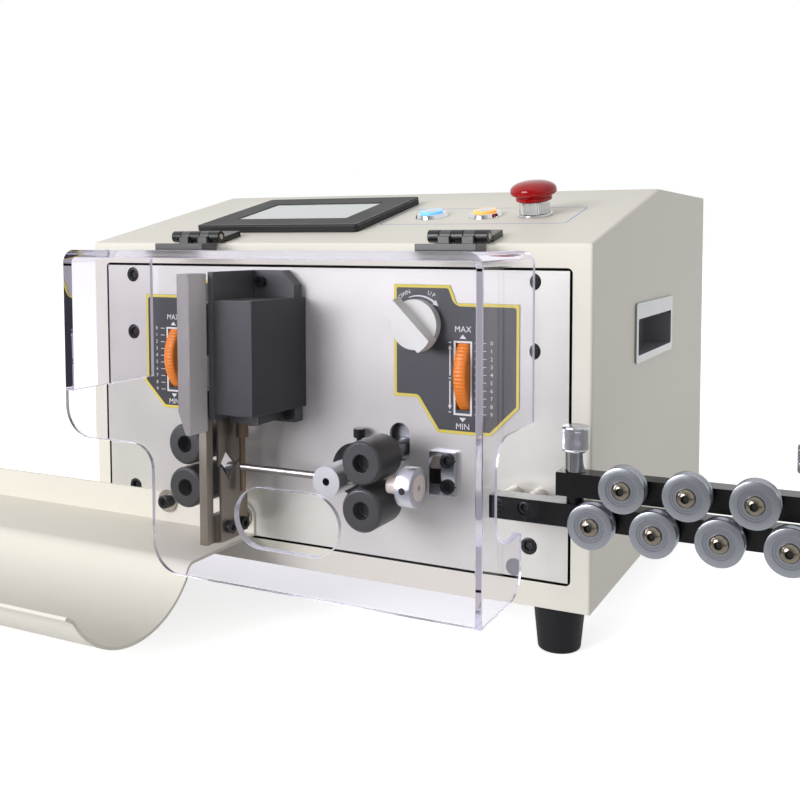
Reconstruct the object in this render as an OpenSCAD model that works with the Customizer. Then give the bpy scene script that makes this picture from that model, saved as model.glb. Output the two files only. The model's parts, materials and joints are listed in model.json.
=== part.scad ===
// Bench machine that feeds, cuts and strips electric wire.
// Millimetres. Modules are drawn with y = 0 on the body's front face, +Y to the back,
// z = 0 on the body's underside and x = 0 on its centre line; place() moves them to the
// shared frame, whose origin is the middle of the outline on the table.

/* [Body] */
// Width of the sheet-metal body
body_w = 400; // [390:1:440]
// Depth of the body, front to back
body_d = 360; // [340:1:420]
// Height of the front face
front_h = 230; // [228:1:245]
// Height of the flat top
top_h = 271; // [265:1:300]
// Level depth of the sloping control panel
slope_run = 177; // [170:1:200]
// Thickness of the body sheet
sheet_t = 2; // [1.5:0.1:2.5]
// Width of the frame at the sides of the front plate
frame_side = 14.6; // [13:0.1:16]
// Height of the frame below the front plate
frame_low = 18; // [15:0.5:19]
// Height of the frame above the front plate
frame_top = 17; // [14:0.5:19]
// Width of the side ledges that the front plate is screwed against
ledge_side = 31; // [29:0.5:34]
// Width of the ledges above and below the front plate
ledge_w = 8; // [5:0.5:8]
// Height of the rubber feet
foot_h = 35; // [25:1:50]
// Diameter of a foot at the top
foot_top_d = 35; // [28:1:40]
// Diameter of a foot at the table
foot_low_d = 28; // [20:1:34]
// Distance of a foot's centre from the body's edges
foot_inset = 29; // [24:1:45]

/* [Front plate] */
// Thickness of the brushed front plate
plate_t = 3; // [2:0.5:5]
// Gap all round the front plate
plate_gap = 1.6; // [0.5:0.1:2]
// Thickness of the printed scale plates
overlay_t = 0.5; // [0.3:0.1:1]
// Diameter of a panel bolt's head
bolt_head_d = 11; // [9:0.5:13]
// Depth of a panel bolt's head
bolt_head_h = 1.8; // [1:0.1:2]
// Diameter of a panel bolt's shank
bolt_d = 6; // [4:0.5:7]

/* [Wire path] */
// Height of the wire above the body's underside
wire_z = 78.6; // [76:0.2:82]
// Distance of the wire in front of the body
wire_out = 38; // [36:0.5:40]

/* [Feed rollers] */
// Diameter of a feed roller
roller_d = 28; // [24:0.5:28.5]
// Length of a feed roller
roller_len = 30; // [24:1:34]
// Gap between a pair of rollers at rest
roller_gap = 1.8; // [1.2:0.2:3]
// Diameter of a feed shaft
shaft_d = 12; // [10:0.5:13]
// Place of the right pair of rollers across the body
right_pair_x = 69; // [67:0.5:71]
// Place of the left pair of rollers across the body
left_pair_x = -68; // [-70:0.5:-67.5]
// Teeth on each feed gear
gear_teeth = 16; // [14:1:20]
// Travel of the roller gap that a gap wheel sets
gap_travel = 3; // [1:0.5:4]
// Travel of the roller lift
lift_travel = 6; // [3:0.5:6]

/* [Gap wheels and lift knob] */
// Radius of a gap wheel
wheel_r = 31.6; // [28:0.2:33]
// Width of a gap wheel
wheel_w = 9; // [7:0.5:9.5]
// How far a gap wheel stands out of the plate
wheel_proud = 8; // [5:0.5:10]
// Height of the gap wheels' axle
wheel_z = 145; // [143:0.5:147]
// Place of the right gap wheel
right_wheel_x = 115; // [114:0.5:118]
// Place of the left gap wheel
left_wheel_x = -120; // [-122:0.5:-116]
// Width of a wheel's window
window_w = 10.4; // [10:0.2:13]
// Height of a wheel's window
window_h = 45; // [40:1:48]
// Place of the lift knob across the body
knob_x = 83; // [81:0.5:84]
// Height of the lift knob
knob_z = 177; // [175:0.5:180]
// Diameter of the lift knob's disc
knob_d = 33; // [28:1:36]
// Length of the lift knob's grip bar
knob_grip_len = 38; // [32:1:42]

/* [Cutter head] */
// Stroke of each blade
blade_stroke = 11; // [8:0.5:11]
// Thickness of a blade
blade_t = 1.9; // [1.5:0.1:2]
// Width of a blade
blade_w = 23; // [20:1:24]
// Height from the wire to the point of each blade's notch
blade_open = 10; // [8:0.5:10.5]
// Height of the cover box
cover_h = 76; // [74:0.5:80]
// Width of the cover box from the head's side plate
cover_w = 30.6; // [30:0.2:36]
// How far the head stands out of the plate
head_out = 56.4; // [54:0.2:58]
// Diameter of the lead screw
screw_d = 10; // [8:0.5:11]

/* [Straightener] */
// Diameter of a straightener roller
pulley_d = 26.5; // [24:0.5:26.5]
// Width of a straightener roller
pulley_w = 10; // [8:0.5:11]
// Depth of the groove in a straightener roller
groove_depth = 2.2; // [1:0.2:3]
// Distance between neighbouring rollers on one bar
pulley_pitch = 36; // [35:0.5:40]
// Place of the first lower roller
pulley_first_x = 211.5; // [209:0.5:214]
// Thickness of the two square bars
bar_t = 14; // [12:0.5:15]
// Place of the lower bar's inner end
bar_left_x = 141; // [138:1:146]
// Place of the bars' outer end
bar_right_x = 341; // [339:1:352]
// Height between the lower and the upper rollers' axles
bar_rise = 23; // [22.5:0.5:25]
// Diameter of a thumbscrew's knurled head
thumb_d = 16; // [14:0.5:20]
// Height of a thumbscrew's knurled head
thumb_h = 15.5; // [12:0.5:20]

/* [Tray] */
// Length of the wire tray
tray_len = 291; // [200:1:330]
// Place of the tray's inner end
tray_right_x = -50; // [-54:0.5:-49]
// Thickness of the tray's sheet
tray_t = 2; // [1.5:0.1:2.5]
// Height of the tray's shelf
shelf_z = 20; // [18:0.5:22]
// Depth of the tray's shelf, in front of the body
shelf_d = 67; // [60:1:72]
// Inner radius of the tray's trough
trough_r = 57; // [50:0.5:60]
// Height of the flange above the shelf
flange_h = 22; // [18:0.5:23]

/* [Guard] */
// Thickness of the clear sheet
clear_t = 5; // [3:0.5:6]
// Right outer face of the guard
guard_right = 164; // [160:1:168]
// Left outer face of the guard
guard_left = -142; // [-146:1:-139]
// How far the guard stands out of the body
guard_out = 88; // [86:1:98]
// Height of the guard's top face
guard_top = 225.5; // [222:0.5:227]
// Height of the guard's lower edge
guard_low = 16; // [14:0.5:22]
// Length of a hinge
hinge_len = 42; // [36:1:50]
// Diameter of a hinge barrel
barrel_d = 8.4; // [7:0.2:8.6]

/* [Controls] */
// Width of the screen's frame
screen_w = 142; // [130:1:150]
// Height of the screen's frame along the slope
screen_l = 105; // [95:1:112]
// How far the screen's frame stands up
screen_up = 6; // [4:0.5:8]
// Diameter of a push button's bezel
bezel_d = 25; // [24:0.5:28]
// Diameter of a push button's cap
cap_d = 17; // [14:0.5:18]
// Travel of a push button
cap_travel = 2.5; // [1.5:0.5:3]
// Diameter of the stop button's head
stop_d = 33; // [28:1:40]
// Travel of the stop button
stop_travel = 4; // [3:0.5:5]
// Length of a side handle's frame
handle_l = 118; // [100:1:125]
// Height of a side handle's frame
handle_h = 43; // [38:1:50]
// Depth of a side handle's pocket
handle_d = 22; // [16:1:30]

/* [Hidden] */

$fn = 48;
eps = 0.01;
// Radial clearances: a fixed fit, a running fit, and room round a part that moves past another
fit = 0.03;
run = 0.06;
room = 0.4;

// Body
slope_deg = atan2(top_h - front_h, slope_run);
ledge_y = plate_t + sheet_t;
plate_w = body_w - 2 * frame_side;
plate_z0 = frame_low;
plate_z1 = front_h - frame_top;
opening_r = 3.3;
base_t = sheet_t;
foot_screw_d = 8;

// Feed rollers, gears and blocks behind the plate
low_z = wire_z - (roller_d + roller_gap) / 2;
up_z = wire_z + (roller_d + roller_gap) / 2;
roller_back = wire_out - roller_len / 2;
spigot_d = shaft_d - 2;
spigot_in = 8;
recess_d = spigot_d + 1.5;
gear_y = 31;
gear_w = 10;
gear_pitch_r = (up_z - low_z) / 2;
gear_module = 2 * gear_pitch_r / gear_teeth;
block_half = 12;
block_y0 = 8;
block_y1 = 28;
block_low = 12;
block_high = 18;
block_top = 26;
frame_wall = 5.5;
frame_half = block_half + run + frame_wall;
frame_y1 = block_y1 + 1;
frame_z0 = low_z - 18;
frame_z1 = up_z + block_high + 16;
post_y1 = 54;
motor_plate_t = 4;
motor_w = 56.4;
motor_len = 56;
motor_y0 = post_y1 + motor_plate_t;
shaft_up_y1 = gear_y + gear_w + 1.5;
stem_y0 = 37;
stem_y1 = 42;
stem_half = 8;

// Gap wheels: axle, cam and the nose that rests on the cam
axle_y = wheel_r - wheel_proud;
axle_d = 8;
cam_r = 8;
cam_w = 8;
cam_turn = 270;
notches = 80;
notch_cut = 0.4;
nose_w = 3;
nose_gap = 0.5;
nose_z = wheel_z + cam_r + nose_gap;
nose_bar = 5;
overlay_shift = 6;

// Lift knob: shaft, cam and lift bar
bar_lift_y0 = 44.5;
bar_lift_y1 = 51;
bar_lift_h = 11.5;
bar_lift_z1 = up_z + block_high - room;
lift_cam_r = 9;
lift_turn = 90;
lift_gap = 0.7;
lift_nose_z = knob_z + lift_cam_r + lift_gap;
lift_arm_x = knob_x + lift_cam_r + lift_travel + 2;
lift_arm_w = 6;
knob_shaft_d = 10;
knob_disc_h = 7;
knob_out = 20;

// Cutter head, from left to right: holders, upper blade, lower blade, side plate, cover
side_x0 = -44.2;
side_t = 4.2;
side_x1 = side_x0 + side_t;
upper_blade_x1 = side_x0 - room;
upper_blade_x0 = upper_blade_x1 - blade_t;
lower_blade_x0 = upper_blade_x1 + 0.15;
lower_blade_x1 = lower_blade_x0 + blade_t;
holder_x1 = upper_blade_x0 - 0.3;
holder_x0 = holder_x1 - 6.2;
bar_x0 = holder_x0 - 1.8;
bar_front = 74.8;
bar_back = head_out + 0.5;
bar_z0 = wire_z + 26.4;
bar_z1 = bar_z0 + 105;
blade_y = -wire_out + 3;
holder_y0 = -head_out;
holder_y1 = -13.5;
blade_bolts = [[-27, wire_z - 43], [-39, wire_z - 42.2]];
blade_bolt_d = 5;
blade_head_d = 9;
blade_head_h = 4;
holder_z0 = wire_z - 51.6;
window_y0 = holder_y0 + 6.5;
window_y1 = holder_y1 - 6.5;
window_z0 = wire_z - 33.6;
cover_z0 = wire_z + 38;
cover_z1 = cover_z0 + cover_h;
cover_t = 2;
flange_t = 10;
flange_x1 = side_x1 + cover_w + 2;
head_z1 = cover_z1 + 18.5;
screw_x = -27;
screw_y = -30;
screw_end_d = screw_d - 2;
nut_half = 8;
nut_h = 10;
low_nut_z = cover_z0 + 4.4;
up_nut_z = low_nut_z + nut_h + 2 * blade_stroke + 2;
lug_y0 = -19.5;
lug_y1 = -14.5;
up_lug_half = 6;
holder_z1 = low_nut_z + nut_h + 0.5;
window_z1 = low_nut_z - 3;
arm_z0 = up_nut_z;
arm_z1 = arm_z0 + 35;
gearbox_z0 = up_nut_z + nut_h + 2;
gearbox_h = cover_z1 - cover_t - 2 - gearbox_z0;
gearbox_half = 10;
gearbox_y0 = -41;
bearing_z0 = cover_z0 - 8.5;
screw_z0 = bearing_z0 - 2;
cover_flare = 5.4;
cover_back = 0.4;
post_x = -38;
post_y = -28.7;
post_d = 4;
post_z0 = wire_z - 19;
post_bush_d = 8.4;
post_bush_h = 11;
bar_cut = [5.8, 15];
arm_front = 22;

// Swing guide and inlet
swing_x = 42;
boss_d = 19.7;
boss_front = wire_out + 12;
boss_back = 24;
collar_d = 23;
collar_back = 12;
disc_d = 36;
disc_back = 1.5;
swing_shaft_d = 8;
solenoid_d = 17.6;
solenoid_len = 30;
tube_d = 5;
tube_bore = 3.4;
tube_left_x = -31.5;
tube_right_x = 56;
inlet_x0 = 93.2;
inlet_x1 = 111.4;
inlet_z0 = wire_z - 12.3;
inlet_z1 = wire_z + 16.2;
inlet_t = 5;
inlet_head_d = bolt_head_d - 1;
inlet_head_up = 1.6;
inlet_sink = 2.4;
ring_d = 25.5;
ring_x0 = 91;
ring_x1 = 101.6;
ring_screw_d = 4.5;
bush_d = 17;
bush_nose_d = 11;
bush_x0 = 81;
bush_bore = 4;

// Straightener
bar_y0 = -wire_out + pulley_w / 2 + 3;
bar_y1 = bar_y0 + bar_t;
bar_low_z = wire_z + 1.2 - bar_rise / 2;
bar_up_z = bar_low_z + bar_rise;
bar_low_c = bar_low_z + 1.5;
bar_up_c = bar_up_z - 3;
bar_low_base = bar_low_c - bar_t / 2;
bar_low_top = bar_low_c + bar_t / 2;
bar_up_base = bar_up_c - bar_t / 2;
bar_up_top = bar_up_c + bar_t / 2;
bar_up_left_x = pulley_first_x - 24.5;
axle_screw_d = 6;
bearing_d = 15;
standoff_d = 11;
standoff_x = [bar_left_x + 9.5, bar_left_x + 26];
standoff_z = bar_low_z + 2.7;
thumb_x = [bar_up_left_x + 10, bar_right_x - 12.5];
thumb_stem_d = 12.4;
thumb_stem_h = 11.9;
thumb_thread_d = 6;
sleeve_d = 10.5;

// Tray: the bend touches the shelf and the trough's circle
bend_r = 8;
bend_y = -shelf_d;
trough_z = shelf_z + 23;
trough_y = bend_y - sqrt(pow(trough_r + bend_r, 2) - pow(trough_z - shelf_z + bend_r, 2));
bend_deg = atan2(trough_z - shelf_z + bend_r, bend_y - trough_y);
lip_deg = 28;
lip_tilt = 35;
lip_len = 7;
lip_sink = 0.2;
tray_left_x = tray_right_x - tray_len;
tray_front = trough_y - trough_r * cos(lip_deg) - lip_len * cos(lip_tilt) - tray_t * sin(lip_tilt);
tray_corner_r = 10;
tray_bolts = [[-126, shelf_z + 16], [-60, shelf_z + 12]];
washer_d = 17;
washer_t = 1.5;
tray_head_h = 5;

// Guard and hinges
guard_back = 3;
guard_round = 9;
pin_y = -3;
pin_z = front_h + 4.4;
pin_d = 4;
leaf_t = 4.2;
leaf_d = 17;
hinge_x = [guard_left + 46, guard_right - 51.5];
knuckles = 5;
knuckle_gap = 0.4;
web_up = 1.2;

// Controls on the slope, as places along it
screen_x = -53.5;
screen_s = 85.5;
glass_w = 98;
glass_l = 58;
glass_t = 2;
button_s = 86;
blue_x = 52;
orange_x = 95;
stop_x = 133;
bezel_h = 3;
barrel_hole_d = 22;
barrel_len = 18;
cap_up = 1.6;
stop_collar_h = 7;
stop_stem_d = 12;
skirt_d = 25.7;
head_up = 25;

// Side handles, back panel and inside
handle_y = 163.5;
handle_z = 166;
handle_rim = 4;
handle_t = 1.5;
inlet_flange_t = 2;
power_x = 130;
power_z = 62;
power_w = 62;
power_h = 34;
rocker_x = power_x - 18;
rocker_r = 10.6;
rocker_w = 13;
rocker_in = 7;
rocker_axle_d = 3;
rocker_tilt = 8;
rear_t = sheet_t;
psu_w = 160;
psu_d = 98;
psu_h = 40;
psu_back = 40;
board = [95, body_d - 150];
board_half = [80, 55];
board_post = [70, 45];
board_up = 8;
inlet_body_d = 26;

// Shared frame
mid_x = (bar_right_x + tray_left_x) / 2;
front_y = (-tray_front - body_d - inlet_flange_t) / 2;

module place() translate([-mid_x, front_y, foot_h]) children();

// A shape drawn in (y, z) carried along X from x0 to x1
module along_x(x0, x1) translate([x0, 0, 0]) rotate([90, 0, 90]) linear_extrude(x1 - x0) children();

// A shape drawn in (x, z) carried along Y from y0 to y1
module along_y(y0, y1) translate([0, y1, 0]) rotate([90, 0, 0]) linear_extrude(y1 - y0) children();

module box(lo, hi) translate(lo) cube(hi - lo);

module rod_y(x, z, d, y0, y1) translate([x, y1, z]) rotate([90, 0, 0]) cylinder(d = d, h = y1 - y0);

module rod_x(y, z, d, x0, x1) translate([x0, y, z]) rotate([0, 90, 0]) cylinder(d = d, h = x1 - x0);

// A point on the sloping panel: x across, s up the slope, drawn with z along its normal
module on_slope(x, s) translate([x, 0, front_h]) rotate([slope_deg, 0, 0]) translate([0, s, 0]) children();

// Flat rectangle with round corners
module round_rect(w, h, r) {
    square([w - 2 * r, h], center = true);
    square([w, h - 2 * r], center = true);
    for (sx = [-1, 1], sz = [-1, 1])
        translate([sx * (w / 2 - r), sz * (h / 2 - r)]) circle(r);
}

// Upright slot with round ends
module upright_slot(w, z0, z1) {
    translate([-w / 2, z0]) square([w, z1 - z0]);
    translate([0, z0]) circle(d = w);
    translate([0, z1]) circle(d = w);
}

// Part of a ring between two angles, less than half a turn
module arc_band(r, t, a0, a1) {
    reach = 2 * (r + t);
    mid = (a0 + a1) / 2;
    intersection() {
        difference() {
            circle(r + t, $fn = 96);
            circle(r, $fn = 96);
        }
        polygon([[0, 0], reach * [cos(a0), sin(a0)], reach * [cos(mid), sin(mid)],
            reach * [cos(a1), sin(a1)]]);
    }
}

// Body outline seen from the side, with the walls' thickness taken off
module body_side(t, front, low, back) {
    drop = t / cos(slope_deg);
    rise = tan(slope_deg);
    flat_y = slope_run + (t == 0 ? 0 : (drop - t) / rise);
    polygon([[front, low], [back, low], [back, top_h - t], [flat_y, top_h - t],
        [front, front_h + front * rise - drop]]);
}

module housing() color([0.87, 0.85, 0.80]) difference() {
    along_x(-body_w / 2, body_w / 2) body_side(0, 0, 0, body_d);
    along_x(-body_w / 2 + sheet_t, body_w / 2 - sheet_t) body_side(sheet_t, ledge_y, -1, body_d + 1);
    plate_opening(-1, plate_t, 0, 0, opening_r);
    plate_opening(plate_t - eps, ledge_y + 1, ledge_side, ledge_w, opening_r);
    for (p = concat(plate_bolts, standoff_bolts))
        rod_y(p[0], p[1], bolt_d + 2 * fit, -1, ledge_y + 1);
    for (side = [-1, 1])
        handle_place(side) along_x(-sheet_t - 1, 1)
            round_rect(handle_l - 2 * handle_rim, handle_h - 2 * handle_rim, 3);
    on_slope(screen_x, screen_s) cube([screen_w - 10, screen_l - 10, 4 * sheet_t], center = true);
    for (x = [blue_x, orange_x, stop_x])
        on_slope(x, button_s) cylinder(d = barrel_hole_d + 2 * fit, h = 6 * sheet_t, center = true);
}

// Opening for the front plate with round corners, made smaller by a ledge
module plate_opening(y0, y1, side, ledge, r) translate([0, 0, (plate_z0 + plate_z1) / 2]) along_y(y0, y1)
    round_rect(plate_w + 2 * (plate_gap - side), plate_z1 - plate_z0 + 2 * (plate_gap - ledge), r);

module base_plate() color([0.62, 0.62, 0.62]) difference() {
    box([-body_w / 2 + sheet_t, ledge_y, 0], [body_w / 2 - sheet_t, body_d, base_t]);
    for (row = [0 : 5], side = [-1, 1])
        translate([side * 60, body_d / 2 - 40 + row * 14, 0]) cube([70, 5, 4 * base_t], center = true);
}

module rear_cover() color([0.87, 0.85, 0.80]) difference() {
    box([-body_w / 2 + sheet_t, body_d - rear_t, base_t], [body_w / 2 - sheet_t, body_d, top_h - sheet_t]);
    for (row = [0 : 7], side = [-1, 1])
        translate([side * 75, body_d, 140 + row * 11])
            along_y(-2 * rear_t, rear_t) round_rect(90, 4, 1.9);
    translate([power_x, 0, power_z])
        along_y(body_d - 2 * rear_t, body_d + 1) square([power_w - 6, power_h - 6], center = true);
}

module feet() color([0.09, 0.09, 0.10])
    for (x = [-1, 1], y = [foot_inset, body_d - foot_inset])
        translate([x * (body_w / 2 - foot_inset), y, -foot_h]) difference() {
            cylinder(d1 = foot_low_d, d2 = foot_top_d, h = foot_h);
            translate([0, 0, -1]) cylinder(d = foot_screw_d, h = foot_h / 3 + 1);
        }

plate_bolts = [[-161.3, plate_z1 - 7], [161.3, plate_z1 - 7], [-161.3, plate_z1 - 50.5],
    [161.3, plate_z1 - 50.5], [-161.3, plate_z0 + 25], [159.7, plate_z0 + 20.5]];

// Blanking plug in a spare hole of the front plate
plug = [146.3, plate_z0 + 5.7];
plug_d = 11;
plug_shank_d = 8;
plug_h = 0.6;

module front_plate() color([0.80, 0.80, 0.79]) difference() {
    box([-plate_w / 2, 0, plate_z0], [plate_w / 2, plate_t, plate_z1]);
    for (x = [left_wheel_x, right_wheel_x])
        translate([x, 0, wheel_z]) along_y(-1, plate_t + 1)
            square([window_w, window_h + 2 * plate_t], center = true);
    for (x = [left_pair_x, right_pair_x]) {
        translate([x, 0, 0]) along_y(-1, plate_t + 1)
            upright_slot(shaft_d + 2.8, up_z - 2, up_z + gap_travel + lift_travel + 0.5);
        rod_y(x, low_z, shaft_d + 2.8, -1, plate_t + 1);
    }
    rod_y(knob_x, knob_z, knob_shaft_d + 2 * run, -1, plate_t + 1);
    rod_y(swing_x, wire_z, swing_shaft_d + 2 * run, -1, plate_t + 1);
    translate([screw_x, 0, gearbox_z0 + gearbox_h / 2]) along_y(-1, plate_t + 1)
        square([2 * gearbox_half + 1, gearbox_h + 1], center = true);
    for (p = plate_bolts) {
        rod_y(p[0], p[1], bolt_head_d + 2 * fit, -1, bolt_head_h + 0.2);
        rod_y(p[0], p[1], bolt_d + 2 * fit, -1, plate_t + 1);
    }
    for (p = concat(tray_bolts, inlet_bolts, standoff_bolts, head_bolts))
        rod_y(p[0], p[1], bolt_d + 2 * fit, -1, plate_t + 1);
    rod_y(plug[0], plug[1], plug_shank_d + 2 * fit, -1, plate_t + 1);
}

inlet_bolts = [[inlet_x1 - 5, inlet_z0 + 6], [inlet_x1 - 5, inlet_z1 - 5.6]];
standoff_bolts = [for (x = standoff_x) [x, standoff_z]];
head_bolts = [[side_x1 + 6, head_z1 - 8], [flange_x1 - 4.6, bearing_z0 + 4]];

// Socket bolt along Y: head, and a shank that ends in the front plate or behind it in a nut
module socket_bolt(p, head_d, head_y0, head_h, nut) difference() {
    union() {
        rod_y(p[0], p[1], head_d, head_y0, head_y0 + head_h);
        rod_y(p[0], p[1], bolt_d, head_y0, nut ? ledge_y + 6 : plate_t);
        if (nut)
            translate([p[0], ledge_y + 4.5, p[1]]) rotate([90, 0, 0])
                cylinder(d = bolt_d * 1.8, h = 4.5, $fn = 6);
    }
    translate([p[0], head_y0 + head_h * 0.7, p[1]]) rotate([90, 0, 0])
        cylinder(d = head_d * 0.55, h = head_h, $fn = 6);
}

module fixed_bolts() color([0.12, 0.12, 0.13]) {
    for (p = plate_bolts)
        socket_bolt(p, bolt_head_d, 0.2, bolt_head_h, true);
    for (p = tray_bolts) {
        socket_bolt(p, bolt_head_d - 1, -tray_t - washer_t - tray_head_h, tray_head_h, true);
        difference() {
            rod_y(p[0], p[1], washer_d, -tray_t - washer_t, -tray_t);
            rod_y(p[0], p[1], bolt_d + 2 * fit, -tray_t - washer_t - 1, 1);
        }
    }
    for (p = inlet_bolts)
        socket_bolt(p, inlet_head_d, -inlet_t - inlet_head_up, inlet_head_up + inlet_sink, true);
    for (p = standoff_bolts)
        socket_bolt(p, bolt_head_d - 3, bar_y0 + 1, 4, true);
    for (p = head_bolts)
        socket_bolt(p, bolt_head_d - 3, -flange_t - 3, 3, false);
    for (i = [0 : 3])
        axle_screw(pulley_first_x + i * pulley_pitch, bar_low_z);
    rod_y(plug[0], plug[1], plug_d, -plug_h, 0);
    rod_y(plug[0], plug[1], plug_shank_d, -eps, plate_t);
}

// Printed plate round a gap wheel; the right one also carries the lift knob
module overlay_outline(side) {
    z0 = wheel_z - 38.5;
    z1 = wheel_z + 46.5;
    edge = 34.5;
    points = [[-18, z0], [edge - 19, z0], [edge, z0 + 19], [edge, z1], [edge - 4, z1], [-4.5, z1],
        [-9, z1 + 11.5], [-50, z1 + 11.5], [-50, z0 + 22], [-33, z0 + 22]];
    polygon([for (p = points) [side * p[0], p[1]]]);
}

module scale_overlays() color([0.24, 0.25, 0.28]) {
    overlay_sheet(1, right_wheel_x, right_wheel_x);
    overlay_sheet(-1, left_wheel_x + overlay_shift, left_wheel_x);
}

module overlay_sheet(side, x, wheel_x) along_y(-overlay_t, 0) difference() {
    translate([x, 0]) overlay_outline(side);
    translate([wheel_x, wheel_z]) square([window_w, window_h], center = true);
    if (side > 0)
        translate([knob_x, knob_z]) circle(d = knob_shaft_d + 2 * room);
}

// Spiral cam outline: the radius grows steadily with the angle from the top
function cam_points(r, rise, turn) = [for (i = [0 : 30])
    let (share = i / 30, a = 90 + share * turn) (r + rise * share) * [cos(a), sin(a)]];

// Wheel with a finely notched rim, its axle and the cam that carries the gap block
module gap_wheel(pair_x, wheel_x) {
    dir = sign(wheel_x);
    hub = wheel_x - dir * wheel_w / 2;
    cam_x = pair_x;
    translate([0, axle_y, wheel_z]) {
        along_x(wheel_x - wheel_w / 2, wheel_x + wheel_w / 2) difference() {
            circle(wheel_r, $fn = 96);
            for (i = [0 : notches - 1])
                rotate(i * 360 / notches) translate([wheel_r, 0]) circle(notch_cut, $fn = 16);
        }
        rod_x(0, 0, axle_d, min(hub, cam_x - dir * cam_w), max(hub, cam_x - dir * cam_w));
        along_x(cam_x - cam_w / 2, cam_x + cam_w / 2)
            polygon(concat([[0, 0]], cam_points(cam_r, gap_travel, cam_turn)));
    }
}

module left_gap_wheel() color([0.94, 0.48, 0.10]) gap_wheel(left_pair_x, left_wheel_x);

module right_gap_wheel() color([0.94, 0.48, 0.10]) gap_wheel(right_pair_x, right_wheel_x);

// Knob: thin disc and diagonal grip in front, shaft through the plate, cam behind
module lift_knob() color([0.90, 0.90, 0.88]) translate([knob_x, 0, knob_z]) {
    rod_y(0, 0, knob_d, -overlay_t - room - knob_disc_h, -overlay_t - room);
    intersection() {
        rod_y(0, 0, knob_grip_len, -knob_out, -overlay_t - room - knob_disc_h + eps);
        rotate([0, 45, 0]) box([-knob_grip_len, -knob_out, -5.5], [knob_grip_len, 0, 5.5]);
    }
    rod_y(0, 0, knob_shaft_d, -overlay_t - room - eps, bar_lift_y1 + 1);
    along_y(bar_lift_y0, bar_lift_y1)
        polygon(concat([[0, 0]], cam_points(lift_cam_r, lift_travel, lift_turn), [[0, -lift_cam_r]]));
}

// Bar that lifts both upper rollers, with an arm whose nose rests on the knob's cam
module lift_bar() color([0.70, 0.71, 0.72]) {
    x0 = left_pair_x - stem_half;
    arm = [lift_arm_x, lift_arm_x + lift_arm_w];
    box([x0, bar_lift_y0, bar_lift_z1 - bar_lift_h], [arm[1], bar_lift_y1, bar_lift_z1]);
    box([arm[0], bar_lift_y0, bar_lift_z1 - eps], [arm[1], bar_lift_y1, lift_nose_z + 8]);
    box([knob_x - nose_w / 2, bar_lift_y0, lift_nose_z + 3], [arm[1], bar_lift_y1, lift_nose_z + 8]);
    box([knob_x - nose_w / 2, bar_lift_y0, lift_nose_z],
        [knob_x + nose_w / 2, bar_lift_y1, lift_nose_z + 4]);
}

// Bearing block of an upper shaft, hung by its stem on the gap wheel's cam
module gap_block(x) translate([x, 0, 0]) difference() {
    union() {
        box([-block_half, block_y0, up_z - block_low], [block_half, block_y1, up_z + block_top]);
        box([-stem_half, block_y0, up_z + block_high], [stem_half, bar_lift_y1 - 0.5, up_z + block_top]);
        box([-stem_half, stem_y0, up_z + block_high], [stem_half, stem_y1, nose_z + 2 + nose_bar]);
        box([-stem_half, axle_y - nose_w / 2, nose_z + 2], [stem_half, stem_y1, nose_z + 2 + nose_bar]);
        box([-stem_half, axle_y - nose_w / 2, nose_z], [stem_half, axle_y + nose_w / 2, nose_z + 3]);
    }
    rod_y(0, up_z, shaft_d + 2 * run, block_y0 - 1, block_y1 + 1);
}

module left_gap_block() color([0.70, 0.71, 0.72]) gap_block(left_pair_x);

module right_gap_block() color([0.70, 0.71, 0.72]) gap_block(right_pair_x);

// Frame behind the plate: lower bearing, guide walls for the block, motor plate and axle bearing
module roller_frame(x, wheel_x) {
    dir = sign(wheel_x);
    arm_x0 = x + dir * (block_half + run);
    arm_x1 = wheel_x - dir * (wheel_w / 2 + 2);
    difference() {
        union() {
            box([x - frame_half, plate_t, frame_z0], [x + frame_half, frame_y1, frame_z1]);
            for (side = [-1, 1])
                translate([x + side * (motor_w / 2 - 4), 0, 0])
                    box([-4, plate_t, frame_z0], [4, post_y1 + eps, frame_z0 + 12]);
            box([x - motor_w / 2, plate_t, frame_z0], [x + motor_w / 2, frame_y1, frame_z0 + 12]);
            box([x - motor_w / 2, post_y1, low_z - motor_w / 2],
                [x + motor_w / 2, motor_y0, low_z + motor_w / 2]);
            box([min(arm_x0, arm_x1), axle_y - 8, frame_z1 - 4],
                [max(arm_x0, arm_x1), frame_y1, wheel_z + 8]);
        }
        box([x - block_half - run, plate_t - 1, up_z - block_low - room],
            [x + block_half + run, frame_y1 + 1, wheel_z + 20]);
        rod_y(x, low_z, shaft_d + 2 * run, plate_t - 1, frame_y1 + 1);
        rod_y(x, low_z, shaft_d + 8, post_y1 - 1, motor_y0 + 1);
        rod_x(axle_y, wheel_z, axle_d + 2 * run, x - 100, x + 100);
    }
}

module roller_frames() color([0.60, 0.61, 0.63]) {
    roller_frame(right_pair_x, right_wheel_x);
    roller_frame(left_pair_x, left_wheel_x);
}

// Feed roller with the recess for its end screw
module feed_roller(x, z) translate([x, -roller_back, z]) rotate([90, 0, 0]) rotate_extrude($fn = 72)
    polygon([[spigot_d / 2 + fit, 0], [roller_d / 2 - 1, 0], [roller_d / 2, 1],
        [roller_d / 2, roller_len - 1.5],
        [roller_d / 2 - 1.5, roller_len], [recess_d / 2, roller_len], [recess_d / 2, roller_len - spigot_in],
        [spigot_d / 2 + fit, roller_len - spigot_in]]);

module left_lower_roller() color([0.17, 0.17, 0.18]) feed_roller(left_pair_x, low_z);

module left_upper_roller() color([0.17, 0.17, 0.18]) feed_roller(left_pair_x, up_z);

module right_lower_roller() color([0.17, 0.17, 0.18]) feed_roller(right_pair_x, low_z);

module right_upper_roller() color([0.17, 0.17, 0.18]) feed_roller(right_pair_x, up_z);

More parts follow.
